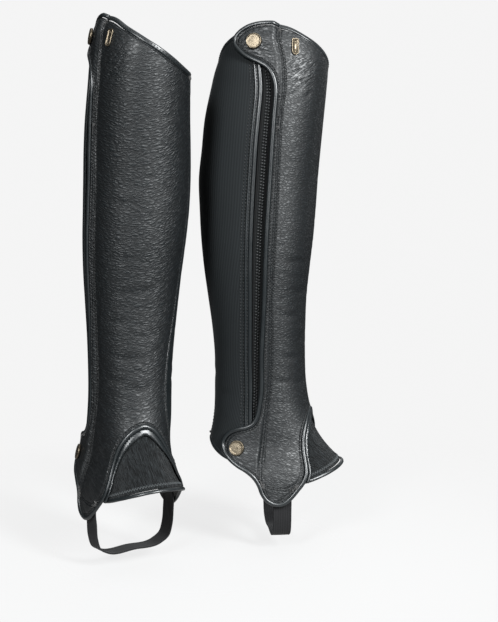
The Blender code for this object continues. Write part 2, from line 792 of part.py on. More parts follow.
def main():
    for old in list(bpy.data.objects):
        bpy.data.objects.remove(old, do_unlink=True)
    materials = {name: make_material(name) for name in COLOURS}
    for chap in CHAPS:
        stand = bpy.data.objects.new(f"chap_{chap['name']}", None)
        stand.location = Vector((chap["right"], chap["back"], -HELD_HEIGHT)) * MM
        stand.rotation_euler.z = math.radians(chap["turn"])
        bpy.context.scene.collection.objects.link(stand)
        for name, build, material in chap_pieces():
            mesh_object(f"{name}_{chap['name']}", build, materials[material], stand)


main()
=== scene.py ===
# %% [markdown]
# # A pair of leather half chaps, filled out as when worn
#
# A half chap is a leather tube for the lower leg, closed by a zip on its outer side. A maker cuts
# flat panels, sews them side to side, binds their edges and closes the zip with two snapped tabs.
# This lesson makes the pair in the same order: first the form of the leg, then the flat patterns on
# it, then the edges, threads and metal.
#
# The imported model comes first. It is the fixed frame that every piece here fits.

# %% Load the imported model
import math

import bmesh
import bpy
import numpy as np
from mathutils import Matrix, Vector
from mathutils.kdtree import KDTree


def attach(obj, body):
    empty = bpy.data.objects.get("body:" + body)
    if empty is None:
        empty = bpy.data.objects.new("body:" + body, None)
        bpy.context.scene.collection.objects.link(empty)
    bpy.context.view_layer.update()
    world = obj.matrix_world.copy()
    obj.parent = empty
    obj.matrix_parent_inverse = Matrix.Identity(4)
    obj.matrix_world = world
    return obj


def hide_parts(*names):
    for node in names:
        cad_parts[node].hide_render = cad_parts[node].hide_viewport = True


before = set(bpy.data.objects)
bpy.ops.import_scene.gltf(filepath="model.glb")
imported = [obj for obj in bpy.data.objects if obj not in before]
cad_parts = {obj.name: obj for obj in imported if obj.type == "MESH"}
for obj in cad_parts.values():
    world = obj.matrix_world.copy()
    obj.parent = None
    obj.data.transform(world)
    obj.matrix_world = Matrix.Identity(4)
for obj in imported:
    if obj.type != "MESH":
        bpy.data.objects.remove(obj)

MM, TO_MM = 0.001, 1000.0
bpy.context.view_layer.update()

# %% [markdown]
# ## The camera
#
# The picture is 498 by 622. The camera stands 1.2 m in front of the pair, just above their middle,
# and looks down a little. The lens is long, as for catalogue pictures, so that the tubes keep their
# true proportions.

# %% The camera
CAMERA = {"place": (0.0527, -1.1974, 0.020), "down": 6.07, "lens": 69.45}
camera = bpy.data.objects.new("camera", bpy.data.cameras.new("camera"))
camera.location = CAMERA["place"]
camera.rotation_euler = (math.radians(90 - CAMERA["down"]), 0, 0)
camera.data.lens = CAMERA["lens"]
bpy.context.scene.collection.objects.link(camera)
bpy.context.scene.camera = camera
bpy.context.scene.view_settings.view_transform = "Standard"
print("camera at", CAMERA["place"])

# %% [markdown]
# ## Writing materials
#
# A material is a small sum, so it is written as one. A `Wire` holds one output socket, and
# arithmetic on it adds Math nodes. Every other node comes from one method of `Finish`, which sets
# the node's settings and then its inputs.


# %% Wires
class Wire:
    """One output of a node. Arithmetic on it adds Math nodes to its material."""

    def __init__(self, finish, socket):
        self.finish, self.socket = finish, socket

    def math(self, operation, *others, clamp=False):
        settings = {"operation": operation, "use_clamp": clamp}
        return self.finish.node("Math", settings, {i: x for i, x in enumerate([self, *others])})

    def __add__(self, other):
        return self.math("ADD", other)

    def __sub__(self, other):
        return self.math("SUBTRACT", other)

    def __rsub__(self, other):
        return (self * -1.0).math("ADD", other)

    def __mul__(self, other):
        return self.math("MULTIPLY", other)

    __radd__, __rmul__ = __add__, __mul__


print("arithmetic on a", Wire.__name__, "adds Math nodes")


# %% Finishes
# A Mix node keeps its two colours and its mixed colour at these places.
FIRST_COLOUR, SECOND_COLOUR, MIXED_COLOUR = 6, 7, 2


class Finish:
    """A material with one Principled shader."""

    def __init__(self, name, **constants):
        self.material = bpy.data.materials.new(name)
        self.material.use_nodes = True
        self.tree = self.material.node_tree
        self.shader = self.tree.nodes["Principled BSDF"]
        for socket, value in constants.items():
            self.shader.inputs[socket.replace("_", " ")].default_value = value

    def put(self, socket, value):
        if isinstance(value, Wire):
            self.tree.links.new(value.socket, socket)
        else:
            socket.default_value = value

    def node(self, kind, settings=None, inputs=None, out=0):
        made = self.tree.nodes.new(f"ShaderNode{kind}")
        for name, value in (settings or {}).items():
            setattr(made, name, value)
        for name, value in (inputs or {}).items():
            self.put(made.inputs[name], value)
        return Wire(self, made.outputs[out])

    def set(self, **wires):
        for socket, wire in wires.items():
            self.put(self.shader.inputs[socket.replace("_", " ")], wire)
        return self.material

    def pattern(self):
        """The place on the flat pattern, in metres, from the piece's UV map of that name."""
        return self.node("UVMap", {"uv_map": "pattern"})

    def placed(self, at, turn, scale):
        """Places turned by angles in degrees and then scaled."""
        turn = tuple(math.radians(angle) for angle in turn)
        turned = self.node("Mapping", {}, {"Vector": at, "Rotation": turn})
        return self.node("Mapping", {}, {"Vector": turned, "Scale": scale})

    def flat(self, across, up, lean=0.0):
        """The piece's own flat pattern, in millimetres divided by the sizes given."""
        return self.placed(self.pattern(), (0.0, 0.0, lean), (TO_MM / across, TO_MM / up, 1.0))

    def hung(self, across, up, middle=0.0, sag=0.0):
        """The same pattern, with level lines that hang in a curve at both sides of a middle."""
        laid = self.pattern()
        x = self.node("SeparateXYZ", {}, {0: laid}, out="X") * TO_MM - middle
        y = self.node("SeparateXYZ", {}, {0: laid}, out="Y") * TO_MM - x * x * sag
        return self.node("CombineXYZ", {}, {"X": x * (1.0 / across), "Y": y * (1.0 / up)})

    def solid(self, size, along=1.0, lean=0.0):
        """Places in the object, in millimetres divided by the size, and by the length along x."""
        scale = (TO_MM / size / along, TO_MM / size, TO_MM / size)
        return self.placed(self.node("TexCoord", out="Object"), (0.0, lean, 0.0), scale)

    def noise(self, at, detail=2.0, rough=0.5, warp=0.0):
        inputs = {"Vector": at, "Scale": 1.0, "Detail": detail, "Roughness": rough}
        return self.node("TexNoise", {}, {**inputs, "Distortion": warp})

    def shades(self, factor, dark, light):
        inputs = {"Factor": factor, FIRST_COLOUR: (*dark, 1.0), SECOND_COLOUR: (*light, 1.0)}
        return self.node("Mix", {"data_type": "RGBA"}, inputs, out=MIXED_COLOUR)

    def bump(self, height, depth):
        return self.node("Bump", {}, {"Height": height, "Distance": depth * MM, "Strength": 1.0})


print("a", Finish.__name__, "is a material written as a sum of wires")

# %% [markdown]
# ## The stage
#
# The floor is a pale disc that fades out at its rim, so that no horizon shows. It glows a little,
# as a light table does, which keeps the shadows faint. The world is plain and dim as a light,
# because black leather would go grey in a bright room, but it is seen as the same white as the
# floor.

# %% The floor and the world
FLOOR_HEIGHT = -0.350
FLOOR_RADIUS = 2.4
FLOOR_FADE = (0.25, 0.65)
BACKGROUND = 0.91
ROOM_LIGHT = 0.03
FLOOR_GLOW = 0.72
FLOOR_GREY = 0.12

shape = bmesh.new()
bmesh.ops.create_circle(shape, cap_ends=True, segments=96, radius=FLOOR_RADIUS)
bmesh.ops.translate(shape, verts=shape.verts, vec=(0, 0, FLOOR_HEIGHT))
floor_mesh = bpy.data.meshes.new("floor")
shape.to_mesh(floor_mesh)
shape.free()
floor = bpy.data.objects.new("floor", floor_mesh)
bpy.context.scene.collection.objects.link(floor)

pale = Finish(
    "pale_floor", Base_Color=(FLOOR_GREY, FLOOR_GREY, FLOOR_GREY, 1.0), Roughness=0.9,
    Emission_Color=(1.0, 1.0, 1.0, 1.0), Emission_Strength=FLOOR_GLOW,
)
where = pale.node("TexCoord", out="Object")
reach = pale.node("VectorMath", {"operation": "LENGTH"}, {0: where}, out="Value")
whole, gone = FLOOR_FADE
ends = {"From Min": whole, "From Max": gone, "To Min": 1.0, "To Max": 0.0}
fade = pale.node("MapRange", {"clamp": True}, {"Value": reach, **ends})
floor_mesh.materials.append(pale.set(Alpha=fade))

world = bpy.data.worlds.new("studio")
bpy.context.scene.world = world
world.use_nodes = True
sky = world.node_tree
room = sky.nodes["Background"]
room.inputs["Color"].default_value = (1.0, 1.0, 1.0, 1.0)
seen = sky.nodes.new("ShaderNodeLightPath")
level = sky.nodes.new("ShaderNodeMapRange")
level.inputs["To Min"].default_value = ROOM_LIGHT
level.inputs["To Max"].default_value = BACKGROUND
sky.links.new(seen.outputs["Is Camera Ray"], level.inputs["Value"])
sky.links.new(level.outputs["Result"], room.inputs["Strength"])
print("floor at", FLOOR_HEIGHT)

# %% [markdown]
# ## Studio light
#
# Leather shows its form by long soft highlights on a dark ground, so the light comes from a few
# large soft boxes in a dim room. Two stand in front and well above the pair, at its right and left,
# and give the highlights down its length. One hangs overhead for the floor, one behind lights the
# back, and a weak one at each side draws the rims.

# %% The lights
LAMP_COLOUR = (0.965, 0.99, 1.0)
LIGHT_COLUMNS = ("name", "place", "size", "power")
LIGHTS = (
    ("key", (1.20, -1.45, 0.88), (0.45, 0.85), 86.0),
    ("front", (-0.75, -1.80, 0.92), (0.40, 0.85), 45.0),
    ("side", (-1.7, 0.5, 0.5), (0.3, 1.4), 0.2),
    ("rim", (1.5, 0.9, 0.5), (0.3, 1.5), 2.0),
    ("above", (0.1, 0.1, 1.9), (2.2, 2.2), 18.0),
    ("behind", (0.2, 1.7, 0.8), (2.0, 1.2), 9.0),
)
for name, place, size, power in LIGHTS:
    lamp = bpy.data.lights.new(name, "AREA")
    lamp.shape = "RECTANGLE"
    lamp.size, lamp.size_y = size
    lamp.energy = power
    lamp.color = LAMP_COLOUR
    soft_box = bpy.data.objects.new(name, lamp)
    soft_box.location = place
    soft_box.rotation_euler = (-Vector(place)).to_track_quat("-Z", "Y").to_euler()
    bpy.context.scene.collection.objects.link(soft_box)
print(len(LIGHTS), "soft boxes, each with its", ", ".join(LIGHT_COLUMNS))

# %% [markdown]
# ## The leg
#
# Everything lies on one form: the outside of the leather. A place on it is an angle round the leg
# and a height above the floor, and a short table gives how far the section reaches at each height.
# Between the rows the sizes run on smooth curves. All sizes from here on are in millimetres.

# %% The table of the leg, and where each chap stands
HELD_HEIGHT = 350.0
PAIR = {
    "1": {"right": -64.0, "back": -29.0, "turn": -143.4},
    "2": {"right": 64.0, "back": 29.0, "turn": -84.0},
}
LEG_COLUMNS = ("height", "front", "back", "outer", "inner", "widest", "turn")
LEG = (
    (40, 152.0, -64.0, 61.0, -37.0, 16.0, 0),
    (60, 126.0, -62.0, 58.5, -36.0, 13.0, 0),
    (78, 101.5, -58.5, 55.0, -33.5, 9.0, 2),
    (93, 82.0, -55.0, 49.5, -30.5, 4.0, 5),
    (108, 68.5, -52.0, 45.0, -31.5, 0.0, 8),
    (124, 59.0, -48.6, 42.8, -34.5, -2.0, 12),
    (142, 52.4, -46.9, 41.0, -37.9, -3.0, 15),
    (165, 48.0, -46.7, 39.7, -39.4, -3.2, 17),
    (195, 46.3, -46.9, 39.6, -40.9, -3.5, 19),
    (225, 46.2, -49.8, 40.4, -43.9, -4.0, 20),
    (255, 47.0, -54.3, 41.8, -47.6, -5.0, 20),
    (285, 49.8, -58.8, 43.2, -51.5, -6.0, 20),
    (315, 52.9, -62.2, 43.6, -55.8, -6.5, 20),
    (345, 55.0, -64.2, 43.0, -59.1, -6.5, 20),
    (375, 56.8, -65.3, 42.2, -60.5, -6.0, 20),
    (405, 59.5, -62.1, 41.6, -60.2, -4.5, 20),
    (435, 62.4, -59.0, 40.2, -59.1, -1.5, 20),
    (465, 65.1, -52.8, 37.5, -58.5, 3.5, 20),
    (482, 66.3, -48.8, 35.6, -58.4, 4.5, 20),
    (495, 66.3, -44.7, 33.0, -58.2, 5.0, 20),
    (503, 64.0, -42.3, 31.5, -57.8, 4.5, 20),
    (511, 60.0, -39.8, 30.0, -57.3, 4.5, 20),
    (520, 51.5, -37.2, 26.5, -56.7, 7.0, 20),
    (530, 40.0, -34.5, 21.5, -56.0, 9.0, 20),
)
SECTION_POWER = 2.2
print("the leg's sections give", ", ".join(LEG_COLUMNS))


# %% Smooth values from short tables
def curve_through(rows, at):
    """Smooth values at the places "at" through rows of (place, value), whose places rise."""
    places, values = np.array(rows, float).T
    steps = np.diff(places)
    slopes = np.diff(values) / steps
    inner = (slopes[:-1] * steps[1:] + slopes[1:] * steps[:-1]) / (places[2:] - places[:-2])
    tangents = np.concatenate([slopes[:1], inner, slopes[-1:]])
    at = np.asarray(at, float)
    i = np.clip(np.searchsorted(places, at) - 1, 0, len(steps) - 1)
    s = (at - places[i]) / steps[i]
    return (
        values[i] * (1 + 2 * s) * (1 - s) ** 2
        + tangents[i] * steps[i] * s * (1 - s) ** 2
        + values[i + 1] * s**2 * (3 - 2 * s)
        + tangents[i + 1] * steps[i] * s**2 * (s - 1)
    )


def ease(x):
    """0 below 0, 1 above 1, and smooth between."""
    x = np.clip(x, 0.0, 1.0)
    return x * x * (3 - 2 * x)


print("calf reaches", curve_through([(row[0], row[2]) for row in LEG], 375.0), "mm back")


# %% The form and its outward direction
NUDGE = 0.5
STEPS_ROUND = 25


def leg(angle, height):
    """Points on the form, whose section is a rounded oval at each height."""
    height = np.asarray(height, float)
    turn = np.radians(np.asarray(angle, float))
    size = {
        name: curve_through([(row[0], row[k]) for row in LEG], height)
        for k, name in enumerate(LEG_COLUMNS)
        if k
    }
    middle = (size["outer"] + size["inner"]) / 2
    half = (size["outer"] - size["inner"]) / 2
    forward = np.cos(turn)
    depth = np.where(forward > 0, size["front"] - size["widest"], size["widest"] - size["back"])
    ahead_share, aside_share = np.abs(forward) / depth, np.abs(np.sin(turn)) / half
    reach = (ahead_share**SECTION_POWER + aside_share**SECTION_POWER) ** (-1 / SECTION_POWER)
    aside, ahead = middle + reach * np.sin(turn), size["widest"] + reach * forward
    twist = np.radians(size["turn"])
    across = aside * np.cos(twist) + ahead * np.sin(twist)
    along = ahead * np.cos(twist) - aside * np.sin(twist)
    return np.stack([across, along, height + 0 * reach], -1)


def unit(vectors):
    return vectors / np.linalg.norm(vectors, axis=-1, keepdims=True)


def outward(angle, height):
    """The form's outward direction."""
    around = leg(angle + NUDGE, height) - leg(angle - NUDGE, height)
    up = leg(angle, height + NUDGE) - leg(angle, height - NUDGE)
    return unit(np.cross(up, around))


def on_leg(places, offset):
    """Points at that distance out from the form, over places of (angle, height)."""
    places = np.asarray(places, float)
    offset = np.broadcast_to(np.asarray(offset, float), places.shape[:-1])
    angle, height = places[..., 0], places[..., 1]
    return leg(angle, height) + outward(angle, height) * offset[..., None]


def laid_flat(places):
    """The same places on the flat pattern: millimetres round the leg from the front, and up."""
    places = np.asarray(places, float)
    share = np.linspace(0.0, 1.0, STEPS_ROUND)[:, None]
    path = leg(share * places[:, 0], places[:, 1] + 0 * share)
    around = np.linalg.norm(np.diff(path, axis=0), axis=-1).sum(0) * np.sign(places[:, 0])
    return np.stack([around, places[:, 1]], 1)


print("the calf is", laid_flat([(180.0, 375.0)])[0][0] * 2, "mm round")

# %% [markdown]
# ## Edges and seams
#
# The patterns share their edges, so each edge is drawn once. The piped edge is the longest: it
# starts at the top, rounds the top tab, follows the zip down, rounds the ankle tab and the outer
# flap, climbs over the instep and ends on the inner flap. The numbers are places on the leg: an
# angle and a height.

# %% The edges
TOP_EDGE = (
    (-268, 521.5), (-255, 521.0), (-240, 518.8), (-223, 512.5), (-208, 506.5), (-195, 499.5),
    (-180, 491.5), (-150, 484.0), (-120, 479.0), (-90, 476.5), (-60, 475.0), (-46, 475.5),
    (-34, 478.3), (-15, 487.5), (2, 498.0), (16, 507.2), (27, 513.8), (41, 520.4), (53, 524.0),
    (66, 526.0),
)
TOP_TAB = (
    (67.0, 524.2), (76, 525.0), (86, 525.1), (98, 524.2), (109, 521.6), (116.5, 517.3),
    (119.8, 511.5), (118.3, 505.3), (113.2, 500.4), (105.0, 494.6), (94.2, 490.0), (84.0, 486.2),
    (76.4, 482.3), (71.4, 477.0),
)
ZIP_SIDE = (
    (67.8, 470.0), (65.2, 460.0), (63.5, 446.0), (62.3, 425.0), (62.1, 403.0), (64.0, 330.0),
    (66.3, 255.0), (70.5, 200.0), (76.0, 150.0),
)
ANKLE_TAB = (
    (80.0, 139.5), (87.5, 131.0), (99.5, 126.4), (112, 124.2), (124, 120.8), (133.5, 115.3),
    (139.6, 107.5), (139.3, 101.0), (135.5, 95.0), (128.5, 88.8), (119.6, 83.6), (113.6, 77.5),
)
OUTER_FLAP = (
    (110.9, 70.5), (109.8, 62.7), (106.0, 56.0), (100.6, 52.7), (93.5, 51.2), (85.0, 52.9),
    (76.4, 57.9), (66.8, 65.0), (59.0, 71.0),
)
ARCH = (
    (51.5, 78.3), (42.5, 90.5), (36.2, 103.5), (30.2, 115.5), (23.5, 125.5), (16.5, 133.0),
    (9.0, 138.3), (0.5, 141.0), (-8.0, 137.8), (-14.7, 130.8), (-20.5, 120.8), (-26.5, 110.0),
    (-32.5, 100.5), (-40.0, 90.5),
)
INNER_FLAP = (
    (-48.0, 80.5), (-56.5, 72.5), (-66.0, 65.0), (-76.0, 58.0), (-85.0, 53.0), (-93.0, 51.3),
    (-100.0, 52.8), (-105.5, 56.5), (-109.0, 63.5), (-111.0, 71.0), (-116.0, 78.5), (-124.0, 84.8),
    (-133.0, 89.5),
)
PIPED_EDGE = TOP_TAB + ZIP_SIDE + ANKLE_TAB + OUTER_FLAP + ARCH + INNER_FLAP
HEM = (
    (107, 92.3), (118, 92.5), (131, 93.8), (144, 97.8), (157, 104.0), (168, 109.0), (180, 110.5),
    (192, 108.5), (204, 102.5), (214, 96.0), (222.5, 91.7),
)
GUSSET_HEM = (
    (58, 72.2), (50, 73.8), (34, 79.4), (21, 84.6), (12, 87.6), (3, 89.0), (-6, 88.6), (-16, 86.5),
    (-30, 81.5), (-44, 76.0), (-52, 74.0),
)
print(len(PIPED_EDGE), "points draw the piped edge")

# %% The seams, as height and angle
OUTER_SEAM = (
    (71, 106.8), (75, 106.4), (89, 97.7), (108, 82.8), (124, 73.5), (146, 66.0), (172, 60.2),
    (255, 57.4), (330, 55.4), (403, 54.6), (447, 55.8), (481, 57.8), (507, 62.4), (520, 65.4),
    (526, 67.0),
)
INNER_SEAM = (
    (103, -37.5), (120, -34.5), (139, -32.0), (157, -30.4), (172, -31.6), (203, -37.0),
    (239, -45.0), (290, -49.5), (354, -51.0), (476, -51.0),
)
ZIP_REAR = (
    (92, 98.5), (118, 92.8), (142, 88.2), (200, 84.2), (255, 81.4), (330, 79.0), (403, 77.2),
    (441, 77.8), (485, 84.4), (520, 91.0),
)
ZIP_MIDDLE = (
    (110, 90.0), (142, 84.2), (200, 78.2), (255, 74.6), (330, 71.8), (403, 69.9), (441, 70.8),
    (485, 78.0), (520, 85.0),
)
BACK_SEAM = ((100, 180.0), (300, 180.0), (500, 180.0))
PATCH_LINE = ((106.5, 69.4), (92.0, 66.4), (78.0, 65.4))
PATCH_REAR, PATCH_FRONT, INNER_CORNER = (110.9, 70.5), (62.5, 68.4), (-35.5, 96.3)
ARCH_ENDS = ((54.0, 75.5), (-50.0, 78.5))
print("the zip is", ZIP_MIDDLE[-1][0] - ZIP_MIDDLE[0][0], "mm long")


# %% [markdown]
# ## Walking along an edge
#
# A stitch row lies beside an edge and a binding runs along it, so three small helpers are used all
# the time: one draws a smooth route through a table's points, one puts places along it at even
# steps, and one moves it sideways.


# %% Routes
STEP, DRAWN_STEP = 1.6, 1.5
SPAN_STEPS = 16


def run_along(points):
    """How far along a line each of its points lies."""
    return np.concatenate([[0], np.cumsum(np.linalg.norm(np.diff(points, axis=0), axis=1))])


def evenly(places, step=STEP):
    """The same route, with a place every "step" millimetres."""
    along = run_along(on_leg(places, 0.0))
    at = np.linspace(0, along[-1], max(2, round(along[-1] / step) + 1))
    return np.stack([np.interp(at, along, places[:, k]) for k in (0, 1)], 1)


def smooth_line(rows, per_span=SPAN_STEPS):
    """Close points on a smooth line through rows of two numbers."""
    rows = np.array(rows, float)
    along = run_along(rows)
    spans = [np.linspace(a, b, per_span, endpoint=False) for a, b in zip(along, along[1:])]
    at = np.concatenate([*spans, along[-1:]])
    return np.stack([curve_through(np.stack([along, rows[:, k]], 1), at) for k in (0, 1)], 1)


def sideways(places, distance):
    """The places moved that many millimetres to the left of their way, as seen from outside."""
    places = np.asarray(places, float)
    angle, height = places.T
    round_scale = np.linalg.norm(leg(angle + NUDGE, height) - leg(angle - NUDGE, height), axis=-1)
    scale = round_scale[:, None] * [1.0, 0.0] + [0.0, 1.0]
    ahead = unit(np.gradient(places, axis=0) * scale)
    return places + np.stack([ahead[:, 1], -ahead[:, 0]], 1) * distance / scale


def up_seam(rows, low, high, step=STEP):
    """Places on a seam given as rows of (height, angle), from low to high."""
    heights = np.linspace(low, high, max(3, round((high - low) / DRAWN_STEP)))
    return evenly(np.stack([curve_through(rows, heights), heights], 1), step)


def round_edge(rows, first, last, below=0.0):
    """Places that far below an edge of (angle, height) rows, from one angle to another."""
    angles = np.linspace(first, last, max(3, round(abs(last - first))))
    return evenly(np.stack([angles, curve_through(sorted(rows), angles) - below], 1))


def nearest(places, target):
    return int(np.linalg.norm(places - target, axis=1).argmin())


piped = evenly(smooth_line(PIPED_EDGE))
print("the piped edge has", len(piped), "even steps")

# %% [markdown]
# ## Cutting the patterns
#
# A maker leaves room for the piping at every edge and lets the panels meet at the seams. The same
# small sizes are used here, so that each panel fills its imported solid, and neighbours share one
# line of places at a seam. The placket rises a little, because it has to pass over the zip.

# %% Sizes that the pieces share
GAP, PLAY = 0.3, 0.05
PIPING = {"across": 1.8, "through": 1.3, "centre": -0.3}
TOP_BINDING = {"across": 2.4, "through": 1.3, "centre": -0.85}
HEM_BINDING = {"across": 2.2, "through": 1.2, "centre": -1.0}
GUSSET_BINDING = {"across": 1.8, "through": 1.2, "centre": -3.7}
EDGE_INSET = PIPING["across"] + GAP + PLAY
TOP_INSET = 2 * TOP_BINDING["across"] + GAP
HEM_INSET = HEM_BINDING["across"] + GAP
STRIP_WIDTH, STRIP_LAP = 7.6, 0.45
STRETCH_CORNERS = {"hem": 106.0, "back": 180.0, "top": -264.0}
STRETCH_TOP, STRETCH_RAISED = 515.0, 1.0
TUCK = 7.0
FACING_WIDTHS, FACING_TAPER = (1.6, 5.0), 0.8
TAB_RISE, RISE_ANGLE, RISE_HEIGHTS = 3.4, 9.0, (68.0, 98.0)
HEM_BACK, TOP_BACK = HEM[6][1], TOP_EDGE[6][1]


def placket_rise(places):
    """How far the placket and its edge lie above the form, to pass over the zip."""
    angle, height = np.moveaxis(np.asarray(places, float), -1, 0)
    low, high = RISE_HEIGHTS
    behind = angle - curve_through(OUTER_SEAM, np.clip(height, OUTER_SEAM[0][0], OUTER_SEAM[-1][0]))
    return TAB_RISE * ease(behind / RISE_ANGLE) * ease((height - low) / (high - low))


print("the panels stop", EDGE_INSET, "mm from the piped edge")

# %% The lines that the outlines share
outer_seam = up_seam(OUTER_SEAM, PATCH_LINE[0][1] + STEP, TOP_EDGE[-1][1] - TOP_INSET)
inner_top = curve_through(TOP_EDGE, INNER_SEAM[-1][1]) - TOP_INSET
back_seam = up_seam(BACK_SEAM, HEM_BACK + HEM_INSET, TOP_BACK - TOP_INSET)
inset = sideways(piped, EDGE_INSET)
rear, front, split = (nearest(piped, target) for target in (PATCH_REAR, PATCH_FRONT, INNER_CORNER))
seam_above = up_seam(INNER_SEAM, INNER_SEAM[0][0], inner_top)
inner_seam = np.concatenate([inset[split : split + 1], seam_above])
patch_line = evenly(np.array([inset[rear], *PATCH_LINE, inset[front]]))
corner = nearest(patch_line, PATCH_LINE[0])
first, last = (nearest(piped, end) for end in ARCH_ENDS)
arch = piped[first : last + 1]

facing_share = np.abs(np.linspace(-1, 1, len(arch)))
narrow, wide = FACING_WIDTHS
facing_width = EDGE_INSET + wide + (narrow - wide) * ease(facing_share / FACING_TAPER)
one_step = sideways(arch, -2.0) - sideways(arch, -1.0)
facing_far = sideways(arch, -1.0) + one_step * (facing_width - 1.0)[:, None]
gusset_route = round_edge(GUSSET_HEM, GUSSET_HEM[0][0], GUSSET_HEM[-1][0])
gusset_low = sideways(gusset_route, GUSSET_BINDING["across"] + GAP)
strip_side = up_seam(ZIP_REAR, HEM[0][1] + HEM_INSET + STRETCH_RAISED, STRETCH_TOP)
print("the outer seam has", len(outer_seam), "places and the back seam", len(back_seam))

# %% The outlines
FULL_TURN = np.array([360.0, 0.0])
stretch_hem, stretch_back, stretch_top = STRETCH_CORNERS.values()
OUTLINES = {
    "placket": [inset[:rear], patch_line[: corner + 1], outer_seam],
    "flap_patch": [inset[rear:front], patch_line[:0:-1]],
    "front_panel": [
        outer_seam[::-1],
        patch_line[corner + 1 :],
        inset[front + 1 : split],
        inner_seam,
        round_edge(TOP_EDGE, INNER_SEAM[-1][1], OUTER_SEAM[-1][1], TOP_INSET)[1:-1],
    ],
    "inner_panel": [
        inset[split + 1 :],
        (sideways(round_edge(HEM, HEM[-1][0], stretch_back), HEM_INSET) - FULL_TURN)[:-1],
        back_seam - FULL_TURN,
        round_edge(TOP_EDGE, -stretch_back, INNER_SEAM[-1][1], TOP_INSET)[1:-1],
        inner_seam[::-1],
    ],
    "stretch_panel": [
        sideways(strip_side, STRIP_WIDTH * STRIP_LAP)[::-1],
        sideways(round_edge(HEM, stretch_hem, stretch_back), -HEM_INSET)[:-1],
        back_seam,
        round_edge(TOP_EDGE, -stretch_back, stretch_top, TOP_INSET)[1:] + FULL_TURN,
    ],
    "arch_facing": [sideways(arch, -EDGE_INSET), facing_far[::-1]],
    "gusset": [sideways(arch, TUCK), gusset_low[::-1]],
}
OUTLINES = {name: np.concatenate(parts) for name, parts in OUTLINES.items()}
for name, outline in OUTLINES.items():
    print(name, "is drawn by", len(outline), "places")


# %% [markdown]
# ## From a flat pattern to a shaped panel
#
# The pattern is one flat face. Insets along its edge give a few rings where the leather is folded
# in and stitched down, and straight cuts across it, like chalk lines, give it enough points to
# bend. Then every point is moved to its place on the leg. A Solidify modifier gives the thickness
# at the end, with the flesh side as a second finish.


# %% Cutting a flat pattern
CLOSEST = 0.45
RIM_STEP = 0.4
CUT_TOLERANCE = 1e-4


def cut(outline, rings, across, up):
    """A flat bmesh of the outline, with rings along its edge and a grid of cuts."""
    shape = bmesh.new()
    apart = np.linalg.norm(np.diff(outline, axis=0, prepend=outline[-1:]), axis=1) > CLOSEST
    corners = [shape.verts.new((angle, height, 0.0)) for angle, height in outline[apart]]
    whole = [shape.faces.new(corners)]
    for width in rings:
        bmesh.ops.inset_region(
            shape, faces=whole, thickness=width, use_even_offset=False, use_boundary=True
        )
    low, high = outline.min(0), outline.max(0)
    cuts = [((at, 0, 0), (1, 0, 0)) for at in np.arange(low[0] + across / 2, high[0], across)]
    cuts += [((0, at, 0), (0, 1, 0)) for at in np.arange(low[1] + up / 2, high[1], up)]
    for place, direction in cuts:
        everything = shape.verts[:] + shape.edges[:] + shape.faces[:]
        bmesh.ops.bisect_plane(
            shape, geom=everything, dist=CUT_TOLERANCE, plane_co=place, plane_no=direction
        )
    return shape


def from_edge(flat, outline):
    """Each flat point's distance from the outline."""
    rim = laid_flat(evenly(np.concatenate([outline, outline[:1]]), RIM_STEP))
    tree = KDTree(len(rim))
    for i, (x, y) in enumerate(rim):
        tree.insert((x, y, 0.0), i)
    tree.balance()
    return np.array([tree.find((x, y, 0.0))[2] for x, y in flat])


sample = cut(OUTLINES["flap_patch"], rings=(0.5,), across=4.0, up=4.0)
print("a coarsely cut flap patch has", len(sample.faces), "faces")
sample.free()


def place_of(chap):
    """The matrix from one chap's own millimetres to the world."""
    pose = PAIR[chap]
    stand = Matrix.Translation(Vector((pose["right"], pose["back"], -HELD_HEIGHT)) * MM)
    return stand @ Matrix.Rotation(math.radians(pose["turn"]), 4, "Z") @ Matrix.Scale(MM, 4)


def add_piece(name, mesh, chap, finishes, replaced=()):
    """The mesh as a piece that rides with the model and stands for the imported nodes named."""
    mesh.transform(place_of(chap))
    mesh.shade_smooth()
    for finish in finishes:
        mesh.materials.append(finish)
    piece = bpy.data.objects.new(f"sewn_{name}_{chap}", mesh)
    bpy.context.scene.collection.objects.link(piece)
    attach(piece, "root")
    if replaced:
        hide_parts(*(f"{node}_{chap}" for node in replaced))
    return piece


print("chap 1 stands at", place_of("1").translation)

# %% [markdown]
# ## Creases
#
# Worn leather keeps soft creases. Each one here is a short trough with a low ridge beside it,
# fading at both ends. The main creases are listed in a table, and fields of small ones fill
# the zones where the leather is stretched or bent. Slopes are in degrees from level, rising towards
# the back of the leg.

# %% One crease
CREASE_COLUMNS = ("angle", "height", "length", "width", "depth", "slope", "bow")
RIDGE = {"away": 1.5, "height": 0.45}


def creased(flat, rows):
    """How far the creases move each flat point out, in millimetres."""
    moved = np.zeros(len(flat))
    centres = laid_flat([row[:2] for row in rows])
    for (_, _, length, width, depth, slope, bow), centre in zip(rows, centres):
        turn = math.radians(slope)
        away = flat - centre
        along = away[:, 0] * math.cos(turn) + away[:, 1] * math.sin(turn)
        share = np.clip(np.abs(2 * along / length), 0, 1)
        level = away[:, 1] * math.cos(turn) - away[:, 0] * math.sin(turn)
        across = (level - bow * share**2) / width
        taper = (1 - share**2) ** 2
        ridge = RIDGE["height"] * np.exp(-((across - RIDGE["away"]) ** 2))
        moved += depth * taper * (ridge - np.exp(-(across**2)))
    return moved


print("a crease has", ", ".join(CREASE_COLUMNS))

# %% Fields of small creases
ZONE_COLUMNS = (
    "from_angle", "to_angle", "from_height", "to_height",
    "count", "length", "width", "depth", "slope",
)
SIZES_VARY, SLOPES_VARY, BOWS_VARY = (0.6, 1.5), 9.0, 0.08


